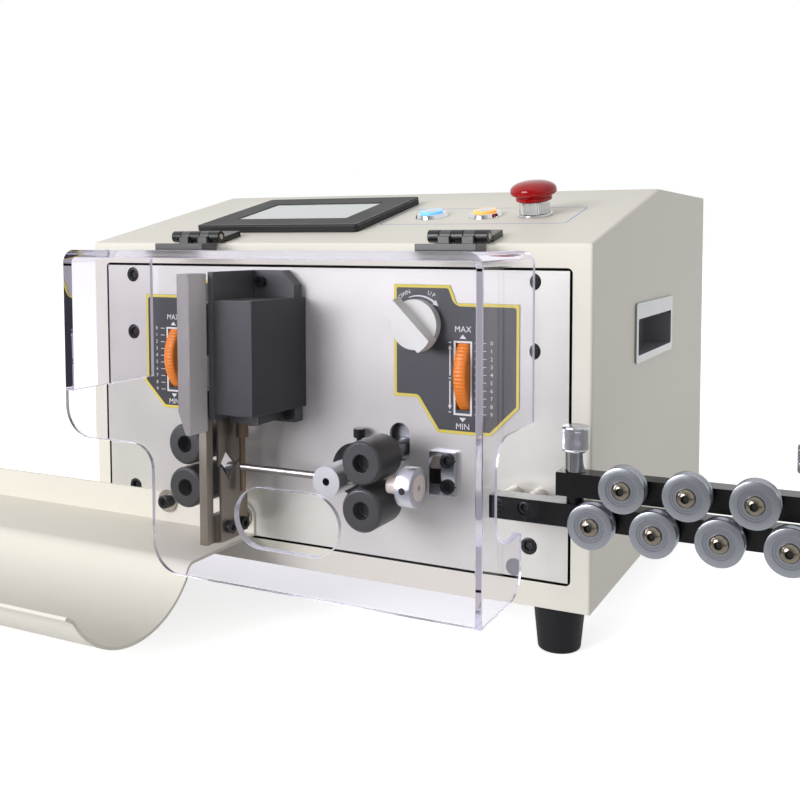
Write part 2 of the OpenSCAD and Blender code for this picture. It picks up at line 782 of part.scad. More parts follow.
// Gear outline with straight-sided teeth, set a quarter tooth off the line to its partner
module gear_outline(toward) {
    root = gear_pitch_r - 1.15 * gear_module;
    tip = gear_pitch_r + 0.85 * gear_module;
    pitch = 360 / gear_teeth;
    rotate(toward + pitch / 4)
        polygon([for (i = [0 : gear_teeth - 1], c = [[root, -0.27], [tip, -0.11], [tip, 0.11], [root, 0.27]])
            c[0] * [cos((i + c[1]) * pitch), sin((i + c[1]) * pitch)]]);
}

// Shaft with the roller's spigot in front and its gear behind the block
module feed_shaft(x, z, y1, toward) translate([x, 0, z]) {
    rod_y(0, 0, spigot_d, -roller_back - roller_len + spigot_in, -roller_back + eps);
    rod_y(0, 0, shaft_d, -roller_back, y1);
    along_y(gear_y, gear_y + gear_w) gear_outline(toward);
}

module left_lower_shaft() color([0.55, 0.56, 0.58]) feed_shaft(left_pair_x, low_z, motor_y0 - room, 90);

module left_upper_shaft() color([0.55, 0.56, 0.58]) feed_shaft(left_pair_x, up_z, shaft_up_y1, 270);

module right_lower_shaft() color([0.55, 0.56, 0.58]) feed_shaft(right_pair_x, low_z, motor_y0 - room, 90);

module right_upper_shaft() color([0.55, 0.56, 0.58]) feed_shaft(right_pair_x, up_z, shaft_up_y1, 270);

// Stepping motor: square body with cut corners
module motor(x, z, y0, len) translate([x, 0, z]) along_y(y0, y0 + len) intersection() {
    square(motor_w, center = true);
    rotate(45) square(motor_w * 1.28, center = true);
}

module drive_motors() color([0.20, 0.20, 0.22]) {
    motor(right_pair_x, low_z, motor_y0, motor_len);
    motor(left_pair_x, low_z, motor_y0, motor_len);
    motor(screw_x, gearbox_z0 + gearbox_h / 2, plate_t, motor_len);
    difference() {
        box([screw_x - gearbox_half, gearbox_y0, gearbox_z0],
            [screw_x + gearbox_half, plate_t + eps, gearbox_z0 + gearbox_h]);
        translate([screw_x, screw_y, gearbox_z0 - 1]) cylinder(d = screw_end_d + 2 * run, h = 11);
    }
    difference() {
        rod_y(swing_x, wire_z, solenoid_d, plate_t, plate_t + solenoid_len);
        rod_y(swing_x, wire_z, swing_shaft_d + 2 * run, plate_t - 1, plate_t + solenoid_len - 6);
    }
}

// Head casting: flange on the plate, side plate that guides the holders, lower screw bearing, guide post
module head_body() color([0.16, 0.16, 0.17]) difference() {
    union() {
        along_y(-flange_t, 0) polygon([[side_x0, bearing_z0 - 2], [flange_x1, bearing_z0 - 2],
            [flange_x1, head_z1 - 10],
            [flange_x1 - 10, head_z1], [side_x0, head_z1]]);
        box([side_x0, -head_out, cover_z0 - 4], [side_x1, -flange_t + eps, head_z1]);
        box([post_x - 3.5, screw_y - nut_half, bearing_z0],
            [screw_x + nut_half + 1, -flange_t + eps, cover_z0 - 0.5]);
        translate([post_x, post_y, post_z0]) cylinder(d = post_d, h = bearing_z0 + 2 - post_z0);
        translate([post_x, post_y, bearing_z0 - post_bush_h]) cylinder(d = post_bush_d, h = post_bush_h + 2);
    }
    box([screw_x - gearbox_half - 0.3, -flange_t - 1, gearbox_z0 - 0.3],
        [screw_x + gearbox_half + 0.3, 1, gearbox_z0 + gearbox_h + 0.3]);
    box([side_x0 - 1, lug_y0 - room, low_nut_z - 1],
        [side_x1 + 1, lug_y1 + room, low_nut_z + nut_h + blade_stroke + 1]);
    box([side_x0 - 1, screw_y - up_lug_half - room, up_nut_z - blade_stroke - 1],
        [side_x1 + 1, screw_y + up_lug_half + room, up_nut_z + nut_h + 1]);
    translate([screw_x, screw_y, bearing_z0 - 1]) cylinder(d = screw_end_d + 2 * run, h = 20);
    for (p = head_bolts)
        rod_y(p[0], p[1], bolt_d + 2 * fit, -flange_t - 1, 1);
}

// Plan of the cover box: its right wall widens to the plate
module cover_plan(t) {
    x1 = side_x1 + cover_w - t;
    polygon([[side_x1 - t, -head_out + t], [x1 + cover_flare * t / head_out, -head_out + t],
        [x1 + cover_flare, t - cover_back], [side_x1 - t, t - cover_back]]);
}

// Box over the lead screw and round the flange, open against the side plate and the front plate
module head_cover() color([0.19, 0.19, 0.20]) difference() {
    translate([0, 0, cover_z0]) linear_extrude(cover_h) cover_plan(0);
    translate([0, 0, cover_z0 + cover_t]) linear_extrude(cover_h - 2 * cover_t) cover_plan(cover_t);
    box([side_x1 - 1, -flange_t, cover_z0 - 1], [flange_x1 + 0.2, 1, cover_z1 + 1]);
    translate([screw_x, screw_y, cover_z0 - 1]) cylinder(d = screw_d + 4, h = 10);
}

module lead_screw() color([0.62, 0.48, 0.30]) translate([screw_x, screw_y, 0]) {
    translate([0, 0, screw_z0]) cylinder(d = screw_end_d, h = gearbox_z0 + 9 - screw_z0);
    translate([0, 0, cover_z0]) cylinder(d = screw_d, h = gearbox_z0 - 0.5 - cover_z0);
}

// Nut block round the lead screw
module nut(z, y1) difference() {
    box([screw_x - nut_half, screw_y - nut_half, z], [screw_x + nut_half, y1, z + nut_h]);
    translate([screw_x, screw_y, z - 1]) cylinder(d = screw_d + 2 * run, h = nut_h + 2);
}

// Upper holder: front bar with a cut corner, arm behind it and the lug to its nut
module upper_blade_holder() color([0.62, 0.62, 0.61]) {
    along_y(-bar_front, -bar_back) polygon([[bar_x0, bar_z0 + bar_cut[1]], [bar_x0 + bar_cut[0], bar_z0],
        [side_x0 - 0.8, bar_z0],
        [side_x0 - 0.8, bar_z1], [bar_x0, bar_z1]]);
    box([bar_x0, -bar_back - eps, arm_z0], [upper_blade_x0, -arm_front, arm_z1]);
    box([upper_blade_x0 - eps, screw_y - up_lug_half, up_nut_z],
        [screw_x - nut_half + eps, screw_y + up_lug_half, up_nut_z + nut_h]);
    nut(up_nut_z, screw_y + nut_half);
}

// Lower holder: plate with the window that the wire passes, seat of the blade and the lug to its nut
module lower_blade_holder() color([0.60, 0.60, 0.59]) {
    difference() {
        box([holder_x0, holder_y0, holder_z0], [holder_x1, holder_y1, holder_z1]);
        box([holder_x0 - 1, window_y0, window_z0], [holder_x1 + 1, window_y1, window_z1]);
        blade_bolt_holes();
    }
    difference() {
        box([holder_x1 - eps, blade_y - blade_w / 2 - 2, holder_z0],
            [lower_blade_x0, blade_y + blade_w / 2 + 2, window_z0 + 1]);
        blade_bolt_holes();
    }
    box([holder_x1 - eps, lug_y0, low_nut_z], [screw_x - nut_half + eps, lug_y1, low_nut_z + nut_h]);
    nut(low_nut_z, lug_y1);
}

// Blade with a V notch; the outline is drawn in (y, z) about the wire
module blade_notch(z_end, tip) {
    half = blade_w / 2;
    y_wire = -wire_out - blade_y;
    polygon([[-half, z_end], [half, z_end], [half, tip * 2], [y_wire + blade_open, -tip * 0.5],
        [y_wire, tip * blade_open], [y_wire - blade_open + 2, -tip * 0.5], [-half, tip * 2]]);
}

module upper_blade() color([0.72, 0.72, 0.71]) difference() {
    translate([0, blade_y, wire_z]) along_x(upper_blade_x0, upper_blade_x1)
        blade_notch(arm_z1 - wire_z - 8, 1);
    box([upper_blade_x0 - 1, screw_y - up_lug_half - fit, up_nut_z - fit],
        [upper_blade_x1 + 1, 0, arm_z1 + 1]);
}

// Lower blade with the two socket bolts that hold it on its seat
module lower_blade() color([0.66, 0.65, 0.63]) {
    difference() {
        translate([0, blade_y, wire_z]) along_x(lower_blade_x0, lower_blade_x1)
            blade_notch(holder_z0 - wire_z, -1);
        blade_bolt_holes();
    }
    for (p = blade_bolts)
        difference() {
            union() {
                rod_x(p[0], p[1], blade_bolt_d, holder_x0, lower_blade_x1 + 1);
                rod_x(p[0], p[1], blade_head_d, lower_blade_x1 + fit, lower_blade_x1 + blade_head_h);
            }
            translate([lower_blade_x1 + blade_head_h / 2, p[0], p[1]]) rotate([0, 90, 0])
                cylinder(d = blade_head_d / 2, h = blade_head_h, $fn = 6);
        }
}

module blade_bolt_holes() for (p = blade_bolts)
    rod_x(p[0], p[1], blade_bolt_d + 2 * fit, holder_x0 - 1, lower_blade_x1 + 1);

// Swing guide: front boss, black collar, clamp disc at the plate and the shaft behind
module swing_boss() color([0.74, 0.75, 0.76]) difference() {
    union() {
        rod_y(swing_x, wire_z, boss_d, -boss_front, -boss_back);
        rod_y(swing_x, wire_z, collar_d, -boss_back - eps, -collar_back);
        rod_y(swing_x, wire_z, disc_d, -collar_back - eps, -disc_back);
        rod_y(swing_x, wire_z, swing_shaft_d, -disc_back - eps, plate_t + solenoid_len - 7);
        translate([swing_x, -collar_back / 2 - 1, wire_z + disc_d / 2 - 1]) {
            cylinder(d = 4, h = 6);
            translate([0, 0, 4]) cylinder(d = 8, h = 6);
        }
    }
    rod_x(-wire_out, wire_z, tube_d + 2 * fit, swing_x - boss_d, swing_x + boss_d);
    rod_y(swing_x, wire_z, 5, -boss_front - 1, -wire_out - tube_d / 2 - 1);
}

module guide_tube() color([0.78, 0.77, 0.75]) difference() {
    rod_x(-wire_out, wire_z, tube_d, tube_left_x, tube_right_x);
    rod_x(-wire_out, wire_z, tube_bore, tube_left_x - 1, tube_right_x + 1);
}

// Inlet bracket: block on the plate, arm and clamp ring
module inlet_bracket() color([0.80, 0.81, 0.82]) difference() {
    union() {
        box([inlet_x0, -inlet_t, inlet_z0], [inlet_x1, 0, inlet_z1]);
        rod_x(-wire_out, wire_z, ring_d, ring_x0, ring_x1);
        box([inlet_x0 + 0.5, -wire_out, wire_z - 5], [ring_x1, -inlet_t + eps, wire_z + 5]);
    }
    rod_x(-wire_out, wire_z, bush_d + 2 * fit, ring_x0 - 1, inlet_x1 + 1);
    rod_y((ring_x0 + ring_x1) / 2, wire_z, ring_screw_d, -wire_out - ring_d, -wire_out);
    for (p = inlet_bolts) {
        rod_y(p[0], p[1], bolt_d + 2 * fit, -inlet_t - 1, 1);
        rod_y(p[0], p[1], inlet_head_d + 2 * fit, -inlet_t - 1, -inlet_t + inlet_sink);
    }
}

// Ceramic bush with a funnel at the right, where the wire goes in
module inlet_bush() color([0.93, 0.90, 0.86]) difference() {
    union() {
        rod_x(-wire_out, wire_z, bush_nose_d, bush_x0, ring_x0 + 2);
        rod_x(-wire_out, wire_z, bush_d, ring_x0 + 1, ring_x1 + 1);
    }
    rod_x(-wire_out, wire_z, bush_bore, bush_x0 - 1, ring_x1 + 2);
}

// Screw that a straightener roller turns on, held in its bar
module axle_screw(x, z) {
    head_y = -wire_out - pulley_w / 2 - 0.2;
    difference() {
        union() {
            rod_y(x, z, axle_screw_d, head_y - eps, bar_y1);
            rod_y(x, z, axle_screw_d + 4, -wire_out + pulley_w / 2 + 0.2, bar_y0);
            rod_y(x, z, axle_screw_d + 4.5, head_y - 3, head_y);
        }
        translate([x, head_y - 1.4, z]) rotate([90, 0, 0]) cylinder(d = 4.6, h = 4, $fn = 6);
    }
}

module screw_holes(z, list) for (x = list) rod_y(x, z, axle_screw_d + 2 * fit, bar_y0 - 1, bar_y1 + 1);

lower_x = [for (i = [0 : 3]) pulley_first_x + i * pulley_pitch];
upper_x = [for (i = [0 : 2]) pulley_first_x + (i + 0.5) * pulley_pitch];

// Lower bar with the two round standoffs that hold it off the front plate
module straightener_lower_bar() color([0.08, 0.08, 0.09]) difference() {
    union() {
        box([bar_left_x, bar_y0, bar_low_base], [bar_right_x, bar_y1, bar_low_top]);
        for (p = standoff_bolts)
            rod_y(p[0], p[1], standoff_d, bar_y1 - eps, 0);
    }
    screw_holes(bar_low_z, lower_x);
    for (p = standoff_bolts) {
        rod_y(p[0], p[1], bolt_d + 2 * fit, bar_y0 - 1, 1);
        rod_y(p[0], p[1], bolt_head_d - 3 + 2 * fit, bar_y0 - 1, bar_y0 + 5);
    }
    for (x = thumb_x)
        translate([x, bar_y0 + bar_t / 2, bar_low_base - 1])
            cylinder(d = thumb_thread_d + 2 * run, h = bar_t + 2);
}

// Upper bar with the sleeves that keep it off the lower one
module straightener_upper_bar() color([0.08, 0.08, 0.09]) difference() {
    union() {
        box([bar_up_left_x, bar_y0, bar_up_base], [bar_right_x, bar_y1, bar_up_top]);
        for (x = thumb_x)
            translate([x, bar_y0 + bar_t / 2, bar_low_top + room])
                cylinder(d = sleeve_d, h = bar_up_base - bar_low_top - room + eps);
    }
    screw_holes(bar_up_z, upper_x);
    for (x = thumb_x)
        translate([x, bar_y0 + bar_t / 2, bar_low_top - 1])
            cylinder(d = thumb_thread_d + 2 * run, h = bar_up_top - bar_low_top + 2);
}

// Grooved roller with its bearing's inner step at both faces
module pulley(x, z) translate([x, -wire_out + pulley_w / 2, z]) rotate([90, 0, 0]) rotate_extrude($fn = 72)
    polygon([[axle_screw_d / 2 + run, 0], [bearing_d / 2 - 1, 0], [bearing_d / 2 - 1, 0.6],
        [bearing_d / 2, 0.6],
        [bearing_d / 2, 0], [pulley_d / 2 - 0.6, 0], [pulley_d / 2, 0.6], [pulley_d / 2, 1.6],
        [pulley_d / 2 - groove_depth, pulley_w / 2 - 1], [pulley_d / 2 - groove_depth, pulley_w / 2 + 1],
        [pulley_d / 2, pulley_w - 1.6], [pulley_d / 2, pulley_w - 0.6], [pulley_d / 2 - 0.6, pulley_w],
        [bearing_d / 2, pulley_w], [bearing_d / 2, pulley_w - 0.6], [bearing_d / 2 - 1, pulley_w - 0.6],
        [bearing_d / 2 - 1, pulley_w], [axle_screw_d / 2 + run, pulley_w]]);

module upper_axle_screws() color([0.30, 0.29, 0.28])
    for (x = upper_x)
        axle_screw(x, bar_up_z);

// Thumbscrew: knurled head, neck on the upper bar, thread down into the lower bar
module thumbscrew(x) color([0.78, 0.78, 0.78]) translate([x, bar_y0 + bar_t / 2, bar_up_top]) {
    translate([0, 0, thumb_stem_h]) rotate_extrude($fn = 64)
        polygon([[0, 0], [thumb_d / 2 - 1, 0], [thumb_d / 2, 1], [thumb_d / 2, thumb_h - 1.5],
            [thumb_d / 2 - 1.5, thumb_h], [0, thumb_h]]);
    cylinder(d = thumb_stem_d, h = thumb_stem_h + eps);
    translate([0, 0, bar_low_base - bar_up_top])
        cylinder(d = thumb_thread_d, h = bar_up_top - bar_low_base + eps);
}

module left_thumbscrew() thumbscrew(thumb_x[0]);

module right_thumbscrew() thumbscrew(thumb_x[1]);

// Tray section in (y, z): flange, shelf, bend, round trough and turned-out lip
module tray_section() {
    lip = [trough_y - trough_r * cos(lip_deg), trough_z - trough_r * sin(lip_deg) - lip_sink];
    translate([-tray_t, shelf_z - tray_t]) square([tray_t, flange_h + tray_t]);
    translate([bend_y, shelf_z - tray_t]) square([shelf_d, tray_t]);
    translate([bend_y, shelf_z - bend_r]) arc_band(bend_r - tray_t, tray_t, 90, 180 - bend_deg);
    translate([trough_y, trough_z]) arc_band(trough_r, tray_t, 180 + lip_deg, 360 - bend_deg);
    translate(lip) rotate(180 - lip_tilt) square([lip_len, tray_t]);
}

module tray() color([0.88, 0.86, 0.81]) difference() {
    along_x(tray_left_x, tray_right_x) tray_section();
    translate([tray_right_x, 0, shelf_z + flange_h]) along_y(-tray_t - 1, 1) difference() {
        translate([-tray_corner_r, -tray_corner_r]) square(tray_corner_r + 1);
        translate([-tray_corner_r, -tray_corner_r]) circle(tray_corner_r);
    }
    for (p = tray_bolts)
        rod_y(p[0], p[1], bolt_d + 2 * fit, -tray_t - 1, 1);
}

// Outline of the guard seen from the front, with round shoulders
module guard_front(t) {
    r = guard_round - t;
    translate([guard_left + t, guard_low - (t == 0 ? 0 : 1)])
        square([guard_right - guard_left - 2 * t, guard_top - guard_low - guard_round + (t == 0 ? 0 : 1)]);
    translate([guard_left + guard_round, guard_top - guard_round - eps])
        square([guard_right - guard_left - 2 * guard_round, guard_round - t + eps]);
    for (x = [guard_left + guard_round, guard_right - guard_round])
        translate([x, guard_top - guard_round]) circle(r);
}

step_z = 99;
step_x = guard_left + 74;
step_r = 16;
left_low_z = 130;
hole_w = 75;
hole_h = 38;
hole_x = 35;
hole_z = 61;

// What is cut from the front sheet: the corner over the tray, with its round steps, and the hand hole
module guard_front_cut() {
    translate([guard_left - 1, guard_low - 1])
        square([step_x - guard_left + 1 - step_r, step_z - guard_low + 1]);
    translate([guard_left - 1, guard_low - 1])
        square([step_x - guard_left + 1, step_z - guard_low + 1 - step_r]);
    translate([step_x - step_r, step_z - step_r]) circle(step_r);
    translate([guard_left - 1, step_z - 1]) difference() {
        square([step_r + 6, step_r + 6]);
        translate([step_r + 6, step_r + 6]) circle(step_r + 5);
    }
    translate([step_x - 1, guard_low - 1]) difference() {
        square([step_r + 6, step_r + 6]);
        translate([step_r + 6, step_r + 6]) circle(step_r + 5);
    }
    translate([hole_x, hole_z]) round_rect(hole_w, hole_h, hole_h / 2 - eps);
}

notch_y = -guard_out + 23;
notch_z0 = 54;
notch_z1 = 118;
notch_r = 18;
heel_y = -25;

// What is cut from the right side sheet, in (y, z): the bay for the straightener and the heel's corner
module guard_side_cut() {
    translate([notch_y + notch_r, notch_z0]) square([guard_out, notch_z1 - notch_z0]);
    translate([notch_y, notch_z0 + notch_r]) square([guard_out, notch_z1 - notch_z0 - 2 * notch_r]);
    for (z = [notch_z0 + notch_r, notch_z1 - notch_r])
        translate([notch_y + notch_r, z]) circle(notch_r);
    translate([heel_y, guard_low - 1]) square([guard_out, notch_z1 - guard_low]);
    translate([heel_y - notch_r, guard_low - 1]) difference() {
        square([notch_r + 1, notch_r + 1]);
        translate([0, notch_r + 1]) circle(notch_r);
    }
}

// Clear guard: top, front and two side sheets, open below and behind
module guard() color([0.85, 0.90, 0.95, 0.4]) difference() {
    along_y(-guard_out, -guard_back) guard_front(0);
    along_y(-guard_out + clear_t, 1) guard_front(clear_t);
    along_y(-guard_out - 1, -guard_out + clear_t + 1) guard_front_cut();
    along_x(guard_right - clear_t - 1, guard_right + 1) guard_side_cut();
    box([guard_left - 1, -guard_out + clear_t, guard_low - 1], [guard_left + clear_t + 1, 1, left_low_z]);
    box([guard_left - 1, -guard_out - 1, guard_low - 1], [guard_left + clear_t + 1, 1, step_z]);
}

// Knuckles of a hinge: every second one belongs to the same leaf
module knuckle_row(x, first) {
    step = hinge_len / knuckles;
    for (i = [first : 2 : knuckles - 1])
        rod_x(pin_y, pin_z, barrel_d, x - hinge_len / 2 + i * step + knuckle_gap / 2,
            x - hinge_len / 2 + (i + 1) * step - knuckle_gap / 2);
}

// Webs between a leaf and its knuckles
module knuckle_webs(x, first, lo, hi) {
    step = hinge_len / knuckles;
    for (i = [first : 2 : knuckles - 1])
        box([x - hinge_len / 2 + i * step + knuckle_gap / 2, lo[0], lo[1]],
            [x - hinge_len / 2 + (i + 1) * step - knuckle_gap / 2, hi[0], hi[1]]);
}

// Leaves on the guard's top sheet
module guard_hinge_leaves() color([0.07, 0.07, 0.08]) difference() {
    for (x = hinge_x) {
        knuckle_row(x, 1);
        knuckle_webs(x, 1, [pin_y - barrel_d / 2 - 2, guard_top], [pin_y, pin_z]);
        box([x - hinge_len / 2, pin_y - barrel_d / 2 - 1 - leaf_d, guard_top],
            [x + hinge_len / 2, pin_y - barrel_d / 2 - 1, guard_top + leaf_t]);
    }
    rod_x(pin_y, pin_z, pin_d + 2 * run, -body_w, body_w);
}

// A shape drawn in (s, h) on the sloping panel, turned into (y, z)
module slope_section() translate([0, front_h]) rotate(slope_deg) children();

// Leaves on the sloping panel, with the pins fixed in their knuckles
module body_hinge_leaves() color([0.07, 0.07, 0.08])
    for (x = hinge_x) {
        step = hinge_len / knuckles;
        along_x(x - hinge_len / 2, x + hinge_len / 2) slope_section() translate([4, 0])
            square([leaf_d, leaf_t]);
        for (i = [0 : 2 : knuckles - 1])
            along_x(x - hinge_len / 2 + i * step + knuckle_gap / 2,
                x - hinge_len / 2 + (i + 1) * step - knuckle_gap / 2) {
                translate([pin_y, pin_z]) circle(d = barrel_d);
                slope_section() translate([-1, web_up]) square([6, leaf_t - web_up]);
            }
        rod_x(pin_y, pin_z, pin_d, x - hinge_len / 2, x + hinge_len / 2);
    }

// Screen: raised frame, body through the panel and the pocket for the glass
module screen_bezel() color([0.10, 0.10, 0.11]) on_slope(screen_x, screen_s) difference() {
    union() {
        linear_extrude(screen_up) round_rect(screen_w, screen_l, 3);
        translate([0, 0, -20]) linear_extrude(20 + eps)
            square([screen_w - 12, screen_l - 12], center = true);
    }
    translate([0, 0, screen_up - glass_t]) linear_extrude(glass_t + 1)
        square([glass_w, glass_l], center = true);
}

module screen_glass() color([0.78, 0.80, 0.80]) on_slope(screen_x, screen_s)
    translate([0, 0, screen_up - glass_t]) linear_extrude(glass_t - 0.6)
        square([glass_w - 2 * fit, glass_l - 2 * fit], center = true);

// Push-button cap with a stop flange under the bezel
module button_cap(x) on_slope(x, button_s) {
    translate([0, 0, -barrel_len + 4]) cylinder(d = cap_d - 3, h = barrel_len);
    translate([0, 0, 0]) cylinder(d = cap_d, h = bezel_h + cap_up);
}

module blue_button() color([0.40, 0.70, 0.95]) button_cap(blue_x);

module orange_button() color([0.98, 0.70, 0.30]) button_cap(orange_x);

// Bezel ring and barrel of a push button
module button_bezel(x) on_slope(x, button_s) difference() {
    union() {
        cylinder(d1 = bezel_d, d2 = bezel_d - 3, h = bezel_h);
        translate([0, 0, -barrel_len]) cylinder(d = barrel_hole_d, h = barrel_len + eps);
    }
    translate([0, 0, -cap_travel - 0.3]) cylinder(d = cap_d + 2 * run, h = 20);
    translate([0, 0, -barrel_len + 1]) cylinder(d = cap_d - 3 + 2 * room, h = 30);
}

// Bezels of the two buttons, and the collar of the stop button
module control_bezels() color([0.80, 0.80, 0.80]) {
    button_bezel(blue_x);
    button_bezel(orange_x);
    on_slope(stop_x, button_s) difference() {
        union() {
            cylinder(d = bezel_d, h = 2);
            cylinder(d = bezel_d - 2.4, h = stop_collar_h);
            translate([0, 0, -barrel_len]) cylinder(d = barrel_hole_d, h = barrel_len + eps);
        }
        translate([0, 0, -barrel_len + 1]) cylinder(d = stop_stem_d + 2 * run, h = 60);
    }
}

// Stop button: stem, skirt and mushroom head
module stop_button() color([0.75, 0.07, 0.10]) on_slope(stop_x, button_s) {
    low = stop_collar_h + stop_travel + 0.3;
    translate([0, 0, -barrel_len + 2 + stop_travel])
        cylinder(d = stop_stem_d, h = low + barrel_len - stop_travel);
    translate([0, 0, low]) rotate_extrude($fn = 72) polygon([[0, 0], [skirt_d / 2, 0], [skirt_d / 2, 4],
        [stop_d / 2 - 1, 4.6], [stop_d / 2, 5.8], [stop_d / 2, head_up - low - 4],
            [stop_d / 2 - 1.2, head_up - low - 2],
        [stop_d / 2 - 4.5, head_up - low - 0.3], [stop_d / 2 - 8, head_up - low], [0, head_up - low]]);
}

module handle_place(side) translate([side * body_w / 2, handle_y, handle_z])
    mirror([side > 0 ? 0 : 1, 0, 0]) children();

// Recessed box handle: rim outside, pocket inside, grip lip across the top
module side_handles() color([0.78, 0.79, 0.80])
    for (side = [-1, 1])
        handle_place(side) difference() {
            union() {
                along_x(0, handle_t) round_rect(handle_l, handle_h, 3);
                along_x(-handle_d, eps) round_rect(handle_l - 2 * handle_rim - 2 * fit,
                    handle_h - 2 * handle_rim - 2 * fit, 3 - fit);
            }
            along_x(-handle_d + handle_t, -4) round_rect(handle_l - 2 * handle_rim - 2 * handle_t,
                handle_h - 2 * handle_rim - 2 * handle_t, 2);
            translate([0, 0, -3]) along_x(-6, handle_t + 1)
                round_rect(handle_l - 2 * handle_rim - 2 * handle_t,
                    handle_h - 2 * handle_rim - 2 * handle_t - 6, 2);
        }

// Power supply and control board on the base plate
module control_electronics() color([0.35, 0.45, 0.38]) {
    box([-psu_w, body_d - psu_back - psu_d, base_t], [0, body_d - psu_back, base_t + psu_h]);
    translate([board[0], board[1], base_t]) {
        for (x = [-1, 1], y = [-1, 1])
            translate([x * board_post[0], y * board_post[1], 0]) cylinder(d = 8, h = board_up + eps);
        box([-board_half[0], -board_half[1], board_up], [board_half[0], board_half[1], board_up + 2]);
        for (x = [-50 : 25 : 50])
            translate([x, -20, board_up + 2 - eps]) cylinder(d = 14, h = 22);
        box([-60, 10, board_up + 2 - eps], [60, 40, board_up + 16]);
    }
}

// Mains inlet: flange, body through the back panel, plug recess with its pins, and the switch window
module power_inlet() color([0.08, 0.08, 0.09]) translate([power_x, body_d, power_z]) difference() {
    union() {
        along_y(0, inlet_flange_t) round_rect(power_w, power_h, 3);
        along_y(-inlet_body_d, eps) square([power_w - 6 - 2 * fit, power_h - 6 - 2 * fit], center = true);
    }
    difference() {
        translate([12, 0, 0]) along_y(-16, inlet_flange_t + 1) square([24, 17], center = true);
        for (x = [5, 12, 19])
            translate([x - 1, -17, x == 12 ? 1 : -5]) cube([2, 14, 4]);
    }
    translate([rocker_x - power_x, 0, 0]) along_y(-20, inlet_flange_t + 1)
        square([rocker_w + 2 * room, 2 * rocker_r + 2 * room], center = true);
    rod_x(-rocker_in, 0, rocker_axle_d + 2 * run, rocker_x - power_x - rocker_w,
        rocker_x - power_x + rocker_w);
}

// Rocker with two slanted faces, turning about an axle inside the inlet's body
module rocker_switch() color([0.10, 0.10, 0.11]) translate([rocker_x, body_d - rocker_in, power_z]) {
    along_x(-rocker_w / 2, rocker_w / 2) rotate(-rocker_tilt) difference() {
        circle(rocker_r);
        translate([8, 0]) rotate(-rocker_tilt) square([20, 30]);
        mirror([0, 1]) translate([8, 0]) rotate(-rocker_tilt) square([20, 30]);
        translate([-30, -15]) square([24, 30]);
    }
    rod_x(0, 0, rocker_axle_d, -rocker_w / 2 - 3, rocker_w / 2 + 3);
}

place() housing();
place() base_plate();
place() rear_cover();
place() feet();
place() front_plate();
place() fixed_bolts();
place() scale_overlays();
place() left_gap_wheel();
place() right_gap_wheel();
place() lift_knob();
place() lift_bar();
place() left_gap_block();
place() right_gap_block();
place() roller_frames();
place() left_lower_roller();
place() left_upper_roller();
place() right_lower_roller();
place() right_upper_roller();
place() left_lower_shaft();
place() left_upper_shaft();
place() right_lower_shaft();
place() right_upper_shaft();
place() drive_motors();
place() head_body();
place() head_cover();
place() lead_screw();
place() upper_blade_holder();
place() lower_blade_holder();
place() upper_blade();
place() lower_blade();
place() swing_boss();
place() guide_tube();
place() inlet_bracket();
place() inlet_bush();
place() straightener_lower_bar();
place() straightener_upper_bar();
place() color([0.60, 0.61, 0.65])  // lower_pulley_1
    pulley(lower_x[0], bar_low_z);
place() color([0.60, 0.61, 0.65])  // lower_pulley_2
    pulley(lower_x[1], bar_low_z);
place() color([0.60, 0.61, 0.65])  // lower_pulley_3
    pulley(lower_x[2], bar_low_z);
place() color([0.60, 0.61, 0.65])  // lower_pulley_4
    pulley(lower_x[3], bar_low_z);
place() color([0.60, 0.61, 0.65])  // upper_pulley_1
    pulley(upper_x[0], bar_up_z);
place() color([0.60, 0.61, 0.65])  // upper_pulley_2
    pulley(upper_x[1], bar_up_z);
place() color([0.60, 0.61, 0.65])  // upper_pulley_3
    pulley(upper_x[2], bar_up_z);
place() upper_axle_screws();
place() left_thumbscrew();
place() right_thumbscrew();
place() tray();
place() guard();
place() guard_hinge_leaves();
place() body_hinge_leaves();
place() screen_bezel();
place() screen_glass();
place() blue_button();
place() orange_button();
place() control_bezels();
place() stop_button();
place() side_handles();
place() control_electronics();
place() power_inlet();
place() rocker_switch();
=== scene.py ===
"""Looks of a bench machine that feeds, cuts and strips wire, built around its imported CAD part."""

import json
import math

import bmesh
import bpy
import numpy as np
from mathutils.bvhtree import BVHTree
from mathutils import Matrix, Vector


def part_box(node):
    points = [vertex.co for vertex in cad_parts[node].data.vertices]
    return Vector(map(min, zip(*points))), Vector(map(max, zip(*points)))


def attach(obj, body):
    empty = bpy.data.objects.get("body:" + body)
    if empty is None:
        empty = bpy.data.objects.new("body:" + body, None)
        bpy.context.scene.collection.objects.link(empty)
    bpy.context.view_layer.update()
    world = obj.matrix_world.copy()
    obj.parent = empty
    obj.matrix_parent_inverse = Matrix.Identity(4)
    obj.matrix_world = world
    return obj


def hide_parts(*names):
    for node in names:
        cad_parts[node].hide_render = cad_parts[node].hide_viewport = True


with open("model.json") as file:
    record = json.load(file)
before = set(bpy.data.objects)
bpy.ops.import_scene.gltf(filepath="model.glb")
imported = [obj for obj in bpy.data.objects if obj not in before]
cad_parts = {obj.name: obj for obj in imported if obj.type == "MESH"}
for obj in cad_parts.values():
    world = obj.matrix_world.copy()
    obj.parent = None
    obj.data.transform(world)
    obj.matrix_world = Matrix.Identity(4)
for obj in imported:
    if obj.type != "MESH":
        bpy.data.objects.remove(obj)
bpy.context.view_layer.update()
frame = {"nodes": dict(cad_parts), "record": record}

# Body: one folded sheet-steel shell with a sloping control panel, cream powder coat,
# closed below by a zinc plate and behind by a screwed-on cover with louvres.
corner, far_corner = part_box("housing")
half_width = far_corner.x * 1000
body_depth = (far_corner.y - corner.y) * 1000
top_height = (far_corner.z - corner.z) * 1000
front_height = 230
slope_run = 177
